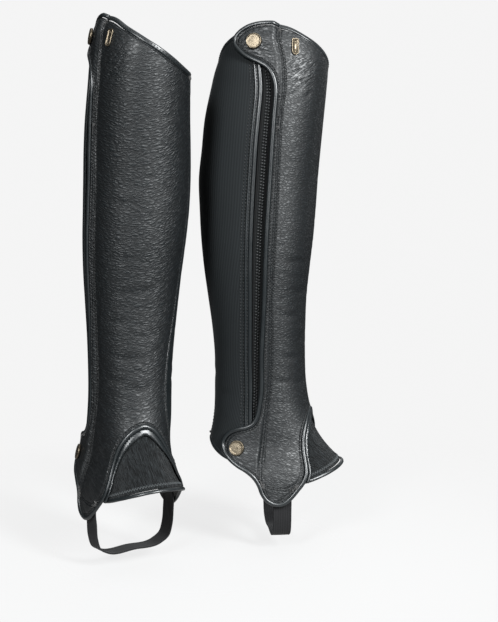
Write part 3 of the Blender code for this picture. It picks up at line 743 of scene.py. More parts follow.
def crease_field(rows, seed):
    """Small creases, scattered in zones, as rows for creased()."""
    chance = np.random.default_rng(seed)
    field = []
    for first_angle, last_angle, low, high, count, length, width, depth, slope in rows:
        for _ in range(count):
            vary = chance.uniform(*SIZES_VARY, 3)
            field.append(
                (
                    chance.uniform(first_angle, last_angle),
                    chance.uniform(low, high),
                    length * vary[0],
                    width * vary[1],
                    depth * vary[2],
                    slope + chance.normal(0, SLOPES_VARY),
                    chance.normal(0, length * BOWS_VARY),
                )
            )
    return field


print("a zone of creases has", ", ".join(ZONE_COLUMNS))

# %% The creases of each panel
MAIN_CREASES = {
    "1": (
        (20, 300, 46, 4.0, 0.45, 4, 3),
        (6, 268, 52, 4.5, 0.50, -3, 4),
        (28, 240, 40, 4.0, 0.45, 6, 3),
        (-6, 226, 38, 3.6, 0.40, -8, 3),
        (14, 205, 50, 4.2, 0.55, 2, 5),
        (30, 184, 36, 3.4, 0.45, 9, 3),
        (2, 176, 44, 3.8, 0.50, -4, 5),
        (22, 350, 40, 5.0, 0.35, 8, 3),
        (40, 158, 26, 3.0, 0.45, 14, 2),
    ),
    "2": (
        (28, 292, 42, 4.0, 0.45, 6, 3),
        (14, 262, 48, 4.4, 0.50, -2, 4),
        (34, 238, 38, 3.8, 0.50, 4, 3),
        (8, 216, 44, 4.0, 0.45, -6, 4),
        (30, 196, 40, 3.6, 0.50, 2, 4),
        (44, 172, 30, 3.2, 0.45, 8, 2),
        (16, 170, 40, 3.6, 0.50, -5, 4),
        (38, 486, 26, 2.4, 0.40, -32, 2),
        (46, 478, 22, 2.2, 0.35, -28, 2),
    ),
}
FRONT_ZONES = (
    (24, 52, 455, 505, 34, 15, 1.5, 0.22, -34),
    (-25, 52, 150, 320, 120, 14, 1.5, 0.14, 0),
    (-25, 50, 320, 440, 50, 18, 1.9, 0.09, -4),
    (42, 84, 78, 150, 70, 12, 1.4, 0.17, 0),
)
PLACKET_ZONES = (
    (72, 112, 488, 520, 34, 10, 1.3, 0.22, 8),
    (62, 74, 470, 505, 12, 9, 1.2, 0.20, -40),
    (90, 130, 90, 122, 20, 9, 1.2, 0.13, 30),
)
INNER_ZONES = (
    (-150, -50, 110, 200, 60, 18, 2.0, 0.16, 0),
    (-150, -50, 200, 460, 60, 26, 3.0, 0.10, 0),
)
INNER_CREASES = (
    (-80, 140, 40, 4.0, 0.50, 6, 3),
    (-110, 158, 46, 4.2, 0.55, -5, 4),
    (-70, 180, 38, 3.8, 0.45, 3, 3),
    (-140, 190, 44, 4.4, 0.50, 7, 4),
    (-95, 215, 50, 4.6, 0.45, -2, 4),
)
STRETCH_CREASES = (
    (150, 135, 40, 5.0, 0.55, 6, 3),
    (128, 158, 34, 4.6, 0.50, -8, 3),
    (160, 176, 38, 5.0, 0.50, 3, 3),
    (140, 205, 34, 5.5, 0.35, -4, 3),
)
print("the front panels have", [len(rows) for rows in MAIN_CREASES.values()], "main creases each")

# %% [markdown]
# ## Leather
#
# The front is a pebbled leather: small cushions with fine creases between them, pulled a little
# wider than high where it is stretched round the shin. Cells of a Voronoi texture make the
# cushions, and noise bends their borders. On the chap at the left the valleys also join into long
# lines that sag at both sides of the shin.
#
# The colour is nearly black all over, with painted shade that makes the valleys darker than the
# cushions. What the eye reads as grain is light on the relief, so most of the work is in the bump,
# and a thin satin coat lies on the cushions but not in the valleys.


# %% Pulled places on the leather
PULLED_COLUMNS = ("angle", "height", "reach", "lean")
PULLED = ((38.0, 480.0, 0.026, 35.0), (88.0, 502.0, 0.020, -14.0), (108.0, 510.0, 0.016, 20.0))
FULLY_PULLED = 0.3
SMOOTH_STEP = {"interpolation_type": "SMOOTHSTEP"}


def near(finish, angle, height, reach):
    """1 at a place of the flat pattern, fading to 0 at that reach in metres."""
    middle = laid_flat([(angle, height)])[0] * MM
    both = {0: finish.pattern(), 1: (*middle, 0.0)}
    away = finish.node("VectorMath", {"operation": "SUBTRACT"}, both)
    distance = finish.node("VectorMath", {"operation": "LENGTH"}, {0: away}, out="Value")
    fade = {"From Min": reach, "From Max": FULLY_PULLED * reach, "To Min": 0.0, "To Max": 1.0}
    return finish.node("MapRange", SMOOTH_STEP, {"Value": distance, **fade})


def pulled_creases(finish):
    """Fine slanting creases at each pulled place."""
    creases = []
    for angle, height, reach, lean in PULLED:
        lines = finish.noise(finish.flat(7.0, 1.8, lean), detail=1.0, warp=0.3)
        creases.append(near(finish, angle, height, reach) * (lines - 0.5))
    return sum(creases)


print("the leather is pulled at", len(PULLED), "places, by", ", ".join(PULLED_COLUMNS))


# %% Pebbled leather
# Painted shade: the valley colour is far darker than the cushion colour, for the shade that falls in
# the grain's hollows.
VALLEY_PAINTED_SHADE, BLACK_CUSHION = (0.0002, 0.0008, 0.0013), (0.0062, 0.0088, 0.0104)
VALLEY_WIDTH, SHIN_MIDDLE, PULLED_DEPTH = 0.40, 20.0, 1.3


def cushions(finish, wide, high, sag):
    """Cells with bent borders: 0 in the valleys and 1 on the cushions."""
    bend = finish.noise(finish.hung(9.0, 7.0), detail=2.0)
    nudge = finish.node("VectorMath", {"operation": "SCALE"}, {0: bend, "Scale": 2.2})
    hanging = finish.hung(wide, high, SHIN_MIDDLE, sag)
    moved = finish.node("VectorMath", {"operation": "ADD"}, {0: hanging, 1: nudge})
    to_edge = {"feature": "DISTANCE_TO_EDGE"}
    edges = finish.node("TexVoronoi", to_edge, {"Vector": moved, "Scale": 1.0})
    slopes = {"Value": edges, "From Min": 0.0, "From Max": VALLEY_WIDTH}
    return finish.node("MapRange", SMOOTH_STEP, slopes)


def pebbled_leather(name, wide, high, wavy, sag, depth, satin, shine):
    """Cushions of that size in millimetres. The more wavy, the more long sagging lines join in."""
    finish = Finish(name, Specular_IOR_Level=0.42, Coat_Roughness=satin)
    waves = finish.noise(finish.hung(wide * 1.6, high, SHIN_MIDDLE, sag), detail=1.0, warp=0.5)
    wrinkle = ((waves - 0.5) * 5.0).math("ABSOLUTE", clamp=True)
    soft = finish.noise(finish.flat(22.0, 12.0), detail=2.0)
    relief = cushions(finish, wide, high, sag) * (1.0 - wavy) + wrinkle * wavy
    creases = pulled_creases(finish)
    finish.set(
        # The colour follows the relief: painted shade makes the valleys darker than the cushions.
        Base_Color=finish.shades(relief * 0.85 + soft * 0.15, VALLEY_PAINTED_SHADE, BLACK_CUSHION),
        Roughness=0.58 - relief * 0.20 + soft * 0.06,
        Coat_Weight=((relief - 0.45) * 0.9 + creases * 4.0).math("ADD", shine, clamp=True),
        Normal=finish.bump(relief + soft * 0.5 + creases * (PULLED_DEPTH / depth), depth),
    )
    return finish.material


FINISH = {
    "pebbled_1": pebbled_leather(
        "pebbled_leather_pulled", 6.8, 2.3, wavy=0.3, sag=0.006, depth=0.40, satin=0.34, shine=0.32
    ),
    "pebbled_2": pebbled_leather(
        "pebbled_leather", 4.2, 2.2, wavy=0.25, sag=0.0, depth=0.24, satin=0.40, shine=0.36
    ),
}
print("the pebbled leathers:", ", ".join(FINISH))


# %% Smooth leather and the flesh side
def smooth_leather(name, rough, depth, gloss):
    finish = Finish(name, Specular_IOR_Level=gloss)
    pores = finish.noise(finish.flat(1.6, 1.6), detail=3.0)
    soft = finish.noise(finish.flat(18.0, 24.0), detail=2.0)
    finish.set(
        Base_Color=finish.shades(soft, (0.0045, 0.0064, 0.0076), (0.0110, 0.0138, 0.0150)),
        Roughness=rough + soft * 0.10 + pores * 0.06,
        Normal=finish.bump(pores * 0.6 + soft * 0.4, depth),
    )
    return finish.material


def flesh_side():
    finish = Finish("flesh_side", Sheen_Weight=0.15)
    nap = finish.noise(finish.flat(0.8, 1.1), detail=4.0, rough=0.7)
    finish.set(
        Base_Color=finish.shades(nap, (0.022, 0.022, 0.022), (0.050, 0.049, 0.048)),
        Roughness=0.82 + nap * 0.12,
        Normal=finish.bump(nap, 0.3),
    )
    return finish.material


FINISH["smooth"] = smooth_leather("smooth_leather", rough=0.30, depth=0.12, gloss=0.5)
FINISH["glossy"] = smooth_leather("glossy_leather", rough=0.27, depth=0.02, gloss=0.65)
FINISH["flesh"] = flesh_side()
print("all leathers:", ", ".join(FINISH))

# %% [markdown]
# ## Cloth
#
# The calf panel is an elastic cloth with fine upright ribs, so its bump is a wave across the flat
# pattern. The gusset is brushed: its nap lies in short upright streaks and catches light at the
# rims, which is what sheen is for.


# %% Ribbed, brushed and woven cloth
def ribbed_cloth(name, pitch, depth, dark, light):
    finish = Finish(name, Sheen_Weight=0.03, Sheen_Roughness=0.5, Specular_IOR_Level=0.25)
    wave = {"Vector": finish.flat(pitch * math.tau, 30.0), "Scale": 1.0}
    uneven = {"Distortion": 0.25, "Detail": 1.0}
    ribs = finish.node("TexWave", {"bands_direction": "X"}, {**wave, **uneven})
    yarn = finish.noise(finish.flat(0.7, 2.6), detail=2.0)
    soft = finish.noise(finish.flat(16.0, 60.0), detail=2.0)
    finish.set(
        Base_Color=finish.shades(ribs * 0.4 + yarn * 0.3 + soft * 0.3, dark, light),
        Roughness=0.66 + yarn * 0.2,
        Normal=finish.bump(ribs * 0.7 + yarn * 0.3, depth),
    )
    return finish.material


def brushed_cloth():
    sheen = {"Sheen_Weight": 0.04, "Sheen_Roughness": 0.4}
    finish = Finish("brushed_cloth", Specular_IOR_Level=0.22, **sheen)
    nap = finish.noise(finish.flat(1.3, 7.0), detail=2.0, rough=0.6, warp=0.5)
    streaks = ((nap - 0.36) * 3.6).math("ADD", 0.0, clamp=True)
    fuzz = finish.noise(finish.flat(0.6, 1.2), detail=2.0)
    finish.set(
        Base_Color=finish.shades(streaks, (0.0002, 0.0005, 0.0007), (0.0165, 0.0195, 0.0210)),
        Roughness=0.72 + fuzz * 0.2,
        Normal=finish.bump(streaks * 0.7 + fuzz * 0.3, 2.0),
    )
    return finish.material


RIBBED_COLUMNS = ("name", "pitch", "depth", "dark", "light")
RIBBED = {
    "ribbed": ("ribbed_cloth", 1.5, 0.16, (0.0010, 0.0019, 0.0025), (0.0098, 0.0128, 0.0142)),
    "elastic": ("elastic_band", 1.2, 0.25, (0.0045, 0.0045, 0.0050), (0.0130, 0.0130, 0.0140)),
    "tape": ("zip_tape", 0.9, 0.15, (0.0035, 0.0040, 0.0042), (0.0090, 0.0100, 0.0105)),
}
for key, row in RIBBED.items():
    FINISH[key] = ribbed_cloth(*row)
FINISH["brushed"] = brushed_cloth()
print(len(RIBBED), "ribbed cloths, by", ", ".join(RIBBED_COLUMNS))

# %% [markdown]
# ## Shaping the panels
#
# A panel's outer side is its distance from the form, plus the rise of the placket, plus the fold
# and the stitch groove along its edge, plus the creases. The creases fade out near the edge, where
# the seam holds the leather flat.

# %% The fold along an edge, by the distance from it
FOLDED_RINGS = (0.35, 0.35, 0.3, 0.4, 0.4, 0.35, 0.75)
FOLD = (
    (0.0, -0.80), (0.35, -0.15), (0.70, 0.15), (1.0, -0.2), (1.4, -0.85), (1.8, -0.2), (2.15, 0.18),
    (2.9, 0.05), (4.0, 0.0), (900.0, 0.0),
)
PLAIN_FOLD = ((0.0, -0.4), (0.4, -0.10), (0.85, 0.0), (900.0, 0.0))
CALM_EDGE = 7.0
print("a folded edge has its stitch groove", FOLD[4][0], "mm in and", -FOLD[4][1], "mm deep")

# %% The sizes of each panel
PANEL_COLUMNS = ("face", "thickness", "grid", "fold", "rings", "rise", "slot")
PANEL_SIZES = {
    "front_panel": (0.0, 1.8, (1.3, 1.5), FOLD, FOLDED_RINGS, None, "grain_leather"),
    "placket": (0.0, 1.5, (1.2, 1.4), FOLD, FOLDED_RINGS, placket_rise, "grain_leather"),
    "flap_patch": (0.0, 1.8, (2.0, 2.0), FOLD, FOLDED_RINGS, None, "grain_leather"),
    "inner_panel": (0.0, 1.8, (2.0, 2.2), FOLD, FOLDED_RINGS, None, "smooth_leather"),
    "stretch_panel": (-0.3, 1.1, (2.0, 2.4), PLAIN_FOLD, (0.4, 0.45), None, "stretch_cloth"),
    "gusset": (-3.0, 1.2, (1.6, 1.8), PLAIN_FOLD, (0.4,), None, "napped_cloth"),
    "arch_facing": (-0.9, 1.0, (2.0, 2.0), PLAIN_FOLD, (0.35, 0.4), None, "smooth_leather"),
}
print(len(PANEL_SIZES), "panels a chap, by", ", ".join(PANEL_COLUMNS))

# %% Cutting each pattern once
PATTERNS = {}


def pattern_of(name, rings, grid):
    """The cut shape of a panel, its places, its flat points and their distances from the edge."""
    if name not in PATTERNS:
        shape = cut(OUTLINES[name], rings, *grid)
        places = np.array([v.co.xy for v in shape.verts])
        flat = laid_flat(places)
        PATTERNS[name] = (shape, places, flat, from_edge(flat, OUTLINES[name]))
    return PATTERNS[name]


def face_outward(shape, places):
    """Turn the faces over where they point into the leg."""
    shape.normal_update()
    shape.verts.index_update()
    shape.faces.ensure_lookup_table()
    probe = shape.faces[len(shape.faces) // 2]
    angle, height = places[probe.verts[0].index]
    if Vector(outward(angle, height)).dot(probe.normal) < 0:
        bmesh.ops.reverse_faces(shape, faces=shape.faces)


def write_pattern(shape, flat):
    """Keep the flat pattern as a UV map, for the finishes."""
    chalk = shape.loops.layers.uv.new("pattern")
    for surface in shape.faces:
        for loop in surface.loops:
            loop[chalk].uv = flat[loop.vert.index] * MM


patch_edge = pattern_of("flap_patch", FOLDED_RINGS, (2.0, 2.0))[3]
print("the flap patch is", round(2 * patch_edge.max(), 1), "mm across at its widest")


# %% One panel
def panel(name, chap, finishes, creases=()):
    """A panel cut to its outline, laid on the leg with its creases, and given its thickness."""
    face, thickness, grid, fold, rings, rise, slot = PANEL_SIZES[name]
    pattern, places, flat, edge = pattern_of(name, rings, grid)
    shape = pattern.copy()
    distances, depths = np.array(fold).T
    offset = face + np.interp(edge, distances, depths)
    if rise:
        offset += rise(places)
    if creases:
        offset += creased(flat, creases) * ease(edge / CALM_EDGE)
    for vert, point in zip(shape.verts, on_leg(places, offset)):
        vert.co = point
    face_outward(shape, places)
    write_pattern(shape, flat)
    mesh = bpy.data.meshes.new(name)
    shape.to_mesh(mesh)
    shape.free()
    piece = add_piece(name, mesh, chap, finishes, replaced=[name])
    thick = piece.modifiers.new("thickness", "SOLIDIFY")
    thick.thickness, thick.offset = thickness * MM, -1.0
    thick.material_offset = len(finishes) - 1
    thick.use_rim = True
    print(piece.name, "has", len(mesh.polygons), "faces")
    return piece


print("a panel is cut, laid on the leg and thickened")


# %% The finish and the creases of each panel
SEEDS_APART = {"front_panel": 0, "placket": 10, "inner_panel": 20}


def panel_finishes(chap):
    """The outer finish of each panel and, on leather, the flesh side."""
    grain, smooth = ((FINISH[key], FINISH["flesh"]) for key in (f"pebbled_{chap}", "smooth"))
    return {
        "front_panel": grain,
        "placket": grain,
        "flap_patch": grain,
        "inner_panel": smooth,
        "stretch_panel": (FINISH["ribbed"],),
        "gusset": (FINISH["brushed"],),
        "arch_facing": (FINISH["glossy"],),
    }


def panel_creases(chap):
    """The creases listed one by one and the fields of small ones."""
    seeds = {name: int(chap) + apart for name, apart in SEEDS_APART.items()}
    return {
        "front_panel": [*MAIN_CREASES[chap], *crease_field(FRONT_ZONES, seeds["front_panel"])],
        "placket": crease_field(PLACKET_ZONES, seeds["placket"]),
        "inner_panel": [*INNER_CREASES, *crease_field(INNER_ZONES, seeds["inner_panel"])],
        "stretch_panel": STRETCH_CREASES,
    }


PANELS = {}
for chap in PAIR:
    finishes, creases = panel_finishes(chap), panel_creases(chap)
    for name in PANEL_SIZES:
        PANELS[name, chap] = panel(name, chap, finishes[name], creases.get(name, ()))

# %% [markdown]
# ## Rolled edges
#
# Bindings and piping are strips of thin leather rolled round an edge. A flat grid is rolled the
# same way: one side of the grid runs along the route and the other runs round the section, and its
# two long sides are then merged.


# %% Rolling a grid along a route
ROLL_TOLERANCE = 0.002


def frames_on(places, offset):
    """Middles and the across and out directions of a strip that runs along places."""
    middles = on_leg(places, offset)
    ahead = unit(np.gradient(middles, axis=0))
    across = unit(np.cross(ahead, outward(*places.T)))
    return middles, ahead, across, np.cross(across, ahead)


def rolled(name, chap, places, offset, section, finish, swell=None):
    """A strip rolled along places on the leg."""
    middles, _, across, out = frames_on(places, offset)
    return rolled_through(name, chap, (middles, across, out), section, finish, swell)


def rolled_through(name, chap, frames, section, finish, swell=None):
    """A strip through frames of (middle, across, out), with a closed section of (across, out)."""
    middles, across, out = frames
    section = np.array(section, float)
    sides, length = len(section), len(middles)
    run, girth = run_along(middles), run_along(np.concatenate([section, section[:1]]))

    def row_and_column(vert):
        return round((vert.co.x + 0.5) * sides), round((vert.co.y + 0.5) * (length - 1))

    shape = bmesh.new()
    bmesh.ops.create_grid(shape, x_segments=sides, y_segments=length - 1, size=0.5)
    pattern = shape.loops.layers.uv.new("pattern")
    for surface in shape.faces:
        for loop in surface.loops:
            i, j = row_and_column(loop.vert)
            loop[pattern].uv = (girth[i] * MM, run[j] * MM)
    for vert in shape.verts:
        i, j = row_and_column(vert)
        x, y = section[i % sides] * (1.0 if swell is None else swell[j])
        vert.co = middles[j] + across[j] * x + out[j] * y
    bmesh.ops.remove_doubles(shape, verts=shape.verts, dist=ROLL_TOLERANCE)
    open_ends = [edge for edge in shape.edges if edge.is_boundary]
    bmesh.ops.holes_fill(shape, edges=open_ends, sides=sides + 1)
    bmesh.ops.recalc_face_normals(shape, faces=shape.faces)
    mesh = bpy.data.meshes.new(name)
    shape.to_mesh(mesh)
    shape.free()
    piece = add_piece(name, mesh, chap, (finish,), [name])
    print(piece.name, "has", len(mesh.polygons), "faces")
    return piece


print("a strip is closed where its sides meet within", ROLL_TOLERANCE, "mm")

# %% Sections and puckers
ROLL_SIDES, GROOVE_REACH = 14, 16.0
PUCKER_STEPS, PUCKER_SHARE = 9, 0.005


def oval(size, grooves=()):
    """A rolled section, pressed in where stitches hold it, by (turn in degrees, depth)."""
    section = []
    for turn in np.arange(ROLL_SIDES) * math.tau / ROLL_SIDES:
        dip = 0.0
        for at, depth in grooves:
            away = (math.degrees(turn) - at + 180) % 360 - 180
            dip += depth * math.exp(-((away / GROOVE_REACH) ** 2))
        across, through = size["across"], size["through"] - dip
        section.append((across * math.cos(turn), through * math.sin(turn)))
    return section


def puckers(count, seed):
    """Slight swelling and shrinking along a rolled edge."""
    rough = np.random.default_rng(seed).normal(0, 1, count + PUCKER_STEPS - 1)
    spread = np.ones(PUCKER_STEPS) / math.sqrt(PUCKER_STEPS)
    return 1 + PUCKER_SHARE * np.convolve(rough, spread, "valid")


print("the piping is", 2 * PIPING["across"], "mm wide and swells by a share of", PUCKER_SHARE)

# %% The bindings and the piping
top_route = round_edge(TOP_EDGE, TOP_EDGE[0][0], TOP_EDGE[-1][0] + STEP, TOP_BINDING["across"])
hem_route = round_edge(HEM, HEM[0][0], HEM[-1][0])
ROLL_COLUMNS = ("name", "route", "size", "rise", "grooves", "fullness")
ROLLS = (
    ("piping", piped, PIPING, placket_rise, (), 1.2),
    ("top_binding", top_route, TOP_BINDING, None, ((90.0, 0.55),), 1.0),
    ("hem_binding", hem_route, HEM_BINDING, None, (), 1.0),
    ("gusset_binding", gusset_route, GUSSET_BINDING, None, (), 1.05),
)
print("each rolled edge has its", ", ".join(ROLL_COLUMNS))
for chap in PAIR:
    for name, places, size, rise, grooves, fullness in ROLLS:
        offset = size["centre"] + (rise(places) if rise else 0.0)
        swell = fullness * puckers(len(places), int(chap))
        section = oval(size, grooves)
        rolled(name, chap, places, offset, section, FINISH["glossy"], swell)

# %% [markdown]
# ## The zip and its strip
#
# The tape is a woven band with the chain along its middle. The teeth of the two sides mesh, so one
# small tooth is made and set along the line, left and right in turn. Beside the zip lies a strip of
# smooth leather, with a folded ridge along each side and a stitched groove between them.


# %% Setting one small shape many times
def small_shape(make):
    """The points and faces of a shape that make() builds."""
    shape = bmesh.new()
    make(shape)
    shape.verts.index_update()
    points = np.array([v.co[:] for v in shape.verts])
    faces = [[v.index for v in face.verts] for face in shape.faces]
    shape.free()
    return points, faces


def set_along(name, chap, small, frames, finish, replaced=()):
    """One mesh with the small shape at every frame: its x along, its y across and its z out."""
    points, faces = small
    spots, ahead, across, out = (np.asarray(part) for part in frames)
    axes = np.stack([ahead, across, out], 1)
    if np.linalg.det(axes[0]) < 0:
        faces = [face[::-1] for face in faces]
    placed = spots[:, None, :] + np.einsum("pk,nkx->npx", points, axes)
    joined = [[i + len(points) * n for i in face] for n in range(len(spots)) for face in faces]
    mesh = bpy.data.meshes.new(name)
    mesh.from_pydata(placed.reshape(-1, 3).tolist(), [], joined)
    piece = add_piece(name, mesh, chap, (finish,), replaced)
    print(piece.name, "has", len(spots), "copies of", len(faces), "faces")


def joined_frames(parts):
    return [np.concatenate([part[k] for part in parts]) for k in range(4)]


corner_points, corner_faces = small_shape(lambda shape: bmesh.ops.create_cube(shape, size=1.0))
print("a cube as a small shape has", len(corner_points), "points and", len(corner_faces), "faces")

# %% The teeth of the zip
TOOTH = {"long": 1.7, "wide": 1.5, "tall": 1.5, "rounding": 0.28, "pitch": 3.0, "aside": 1.3}

zip_plastic = Finish("zip_plastic", Base_Color=(0.006, 0.007, 0.0075, 1.0))
worn = zip_plastic.noise(zip_plastic.solid(1.1))
worn_relief = zip_plastic.bump(worn, 0.05)
FINISH["plastic"] = zip_plastic.set(Roughness=0.40 + worn * 0.16, Normal=worn_relief)


def tooth(shape):
    bmesh.ops.create_cube(shape, size=1.0)
    size = (TOOTH["wide"], TOOTH["long"], TOOTH["tall"])
    bmesh.ops.scale(shape, verts=shape.verts, vec=size)
    bmesh.ops.bevel(
        shape, geom=shape.edges[:], offset=TOOTH["rounding"], segments=1, profile=0.5,
        material=-1, affect="EDGES",
    )


print("a tooth is", TOOTH["long"], "by", TOOTH["wide"], "mm")

# %% The zip
ZIP_TAPE_HALF, ZIP_TAPE, ZIP_TAPE_STEP, ZIP_CHAIN_TOP = 7.6, (-2.9, -2.1), 3.0, -0.4
ZIP_HEIGHTS, CHAIN_ENDS = (114.0, 510.0), (1.0, 2.0)

under, over = ZIP_TAPE
tape_section = [
    (-ZIP_TAPE_HALF, under), (ZIP_TAPE_HALF, under), (ZIP_TAPE_HALF, over), (-ZIP_TAPE_HALF, over),
]
zip_line = up_seam(ZIP_MIDDLE, *ZIP_HEIGHTS, step=ZIP_TAPE_STEP)
chain_foot, chain_top = ZIP_HEIGHTS[0] + CHAIN_ENDS[0], ZIP_HEIGHTS[1] - CHAIN_ENDS[1]
for chap in PAIR:
    rolled("zip", chap, zip_line, 0.0, tape_section, FINISH["tape"])
    sides = []
    for side in (1, -1):
        first = chain_foot + side * TOOTH["pitch"] / 4
        line = up_seam(ZIP_MIDDLE, first, chain_top, step=TOOTH["pitch"])
        spots, ahead, across, out = frames_on(line, ZIP_CHAIN_TOP - TOOTH["tall"] / 2)
        sides.append((spots + across * side * TOOTH["aside"], ahead, across, out))
    chain = joined_frames(sides)
    set_along("zip_teeth", chap, small_shape(tooth), chain, FINISH["plastic"])

# %% The strip beside the zip
STRIP_HEIGHTS = (100.0, 512.0)
STRIP_RIDGES = (
    (-3.8, 0.15), (-3.6, 0.90), (-3.1, 1.35), (-2.6, 1.35), (-2.1, 0.95), (-1.8, 0.45),
    (-1.5, 0.10), (-1.1, 0.00), (-0.7, 0.10), (-0.3, 0.45), (0.1, 1.00), (0.6, 1.35), (1.4, 1.50),
    (2.2, 1.50), (2.9, 1.40), (3.4, 1.15), (3.7, 0.75), (3.8, 0.15),
)
STRIP_GROOVE = 1.1
strip_line = sideways(up_seam(ZIP_REAR, *STRIP_HEIGHTS), STRIP_WIDTH / 2)
for chap in PAIR:
    rolled("zip_strip", chap, strip_line, 0.0, STRIP_RIDGES, FINISH["glossy"])

# %% [markdown]
# ## Sewing
#
# A machine stitch is a short fat thread that dives into the leather at both ends. One is made from
# a small sphere pulled long, and rows of it follow the edges at the depth of their grooves.

# %% Thread
def waxed_thread(name, grey):
    finish = Finish(name)
    twist = finish.noise(finish.solid(0.4))
    dark, light = (0.7, 0.8, 0.85), (1.0, 1.1, 1.15)
    finish.set(
        Base_Color=finish.shades(twist, [grey * x for x in dark], [grey * x for x in light]),
        Roughness=0.42 + twist * 0.25,
        Normal=finish.bump(twist, 0.08),
    )
    return finish.material


FINISH["thread"] = waxed_thread("waxed_thread", 0.009)
FINISH["overlock"] = waxed_thread("overlock_thread", 0.045)
print("two threads, black for the seams and grey for the overlocked edge")

# %% One stitch, and one row
STITCH = {"long": 2.2, "wide": 1.1, "tall": 1.0, "pitch": 3.3}


def stitch(shape):
    bmesh.ops.create_uvsphere(shape, u_segments=6, v_segments=5, radius=0.5)
    on_its_side = Matrix.Rotation(math.radians(90), 3, "Y")
    bmesh.ops.rotate(shape, cent=(0, 0, 0), matrix=on_its_side, verts=shape.verts)
    size = (STITCH["long"], STITCH["wide"], STITCH["tall"])
    bmesh.ops.scale(shape, verts=shape.verts, vec=size)


def stitch_row(places, offset, rise=None):
    line = evenly(places, STITCH["pitch"])
    return frames_on(line, offset + (rise(line) if rise else 0.0))


print("a stitch is", STITCH["long"], "mm long, every", STITCH["pitch"], "mm")

# %% Where the stitches run
BESIDE_EDGE, SHORT_OF_END = 1.4, 1.0
SEAM_FOOT, BINDING_ENDS, ON_STRETCH = 2.0, (-262.0, 62.0), (1.1, 4.0)
IN_GROOVE, IN_SMOOTH, ON_BINDING, ON_STRIP, IN_CLOTH = -0.25, -0.2, 0.1, 0.15, -0.15
aside = GAP / 2 + BESIDE_EDGE
seam_up = up_seam(
    OUTER_SEAM, OUTER_SEAM[0][0] + SEAM_FOOT, OUTER_SEAM[-1][0] - TOP_INSET - SHORT_OF_END
)
inner_up = up_seam(INNER_SEAM, INNER_SEAM[0][0], inner_top - SHORT_OF_END)
back_up = up_seam(
    BACK_SEAM, HEM_BACK + HEM_INSET + SHORT_OF_END, TOP_BACK - TOP_INSET - SHORT_OF_END
)
print("the rows at a seam are", 2 * aside, "mm apart")

# %% The rows of stitches
ROW_COLUMNS = ("route", "offset", "rise")
ROWS = (
    (sideways(piped, EDGE_INSET + BESIDE_EDGE), IN_GROOVE, placket_rise),
    (sideways(seam_up, aside), IN_GROOVE, placket_rise),
    (sideways(seam_up, -aside), IN_GROOVE, None),
    (sideways(inner_up, aside), IN_GROOVE, None),
    (sideways(inner_up, -aside), IN_GROOVE, None),
    (sideways(back_up, aside), IN_SMOOTH, None),
    (sideways(back_up, -aside), IN_SMOOTH, None),
    (evenly(np.array(PATCH_LINE)), IN_GROOVE, None),
    (round_edge(TOP_EDGE, *BINDING_ENDS, TOP_BINDING["across"]), ON_BINDING, None),
    (sideways(strip_line, STRIP_GROOVE), ON_STRIP, None),
    *((sideways(strip_line, STRIP_WIDTH / 2 + away), IN_CLOTH, None) for away in ON_STRETCH),
)
print(len(ROWS), "rows of stitches, by", ", ".join(ROW_COLUMNS))
for chap in PAIR:
    rows = joined_frames([stitch_row(*row) for row in ROWS])
    set_along("stitches", chap, small_shape(stitch), rows, FINISH["thread"])

# %% [markdown]
# ## The overlocked edge
#
# The lower edge of the gusset is overlocked before it is bound: slanted stitches lean left and
# right in turn over the raw edge. Each is the same small stitch, drawn longer and thinner, in a
# grey thread.

# %% The overlocked edge of the gusset
OVERLOCK = {"pitch": 1.5, "lean": 66.0, "above": 2.3, "offset": -2.95, "size": (1.6, 0.8, 0.8)}
overlock_side = sideways(gusset_route, GUSSET_BINDING["across"] + OVERLOCK["above"])
overlock_line = evenly(overlock_side, OVERLOCK["pitch"])
spots, ahead, across, out = frames_on(overlock_line, OVERLOCK["offset"])
turns = np.radians(OVERLOCK["lean"]) * np.where(np.arange(len(spots)) % 2, 1.0, -1.0)[:, None]
slanted_ahead = ahead * np.cos(turns) + across * np.sin(turns)
slanted_across = across * np.cos(turns) - ahead * np.sin(turns)
slanted = (spots, slanted_ahead, slanted_across, out)
points, faces = small_shape(stitch)
long_stitch = (points * OVERLOCK["size"], faces)
for chap in PAIR:
    set_along("overlock", chap, long_stitch, slanted, FINISH["overlock"])

# %% [markdown]
# ## Metal
#
# The snaps and the small plate are brass, browned in patches and rubbed bright along fine strokes.
# A cap is turned, so its half section is spun round its middle. The plate is cut out, and its rim
# stands up round a bare field.


# %% Aged brass
BROWNED, BRIGHT = (0.060, 0.047, 0.031), (0.250, 0.208, 0.152)


def aged_brass():
    finish = Finish("aged_brass")
    strokes = finish.noise(finish.solid(0.34, along=6.0, lean=55.0), detail=2.0)
    dents = finish.noise(finish.solid(0.9), detail=1.0)
    stains = finish.noise(finish.solid(2.6), detail=3.0)
    worn = ((stains * 0.3 + strokes * 0.7 - 0.32) * 2.4).math("ADD", 0.0, clamp=True)
    finish.set(
        Base_Color=finish.shades(worn, BROWNED, BRIGHT),
        Metallic=0.78 + dents * 0.2,
        Roughness=0.28 + stains * 0.22,
        Normal=finish.bump(strokes * 0.6 + dents * 0.4, 0.16),
    )
    return finish.material


FINISH["brass"] = aged_brass()
print("the finishes are", ", ".join(FINISH))


# %% Small pieces that face outward
def facing(angle, height, offset, lean=0.0):
    """One frame for set_along, with its x to the right, its y up the leg and its z outward."""
    out = outward(np.array(angle), np.array(height))
    right = unit(np.cross([0.0, 0.0, 1.0], out))
    up = np.cross(out, right)
    turn = math.radians(lean)
    leaning_right = right * math.cos(turn) + up * math.sin(turn)
    leaning_up = up * math.cos(turn) - right * math.sin(turn)
    spot = on_leg((angle, height), offset)
    return [part[None] for part in (spot, leaning_right, leaning_up, out)]


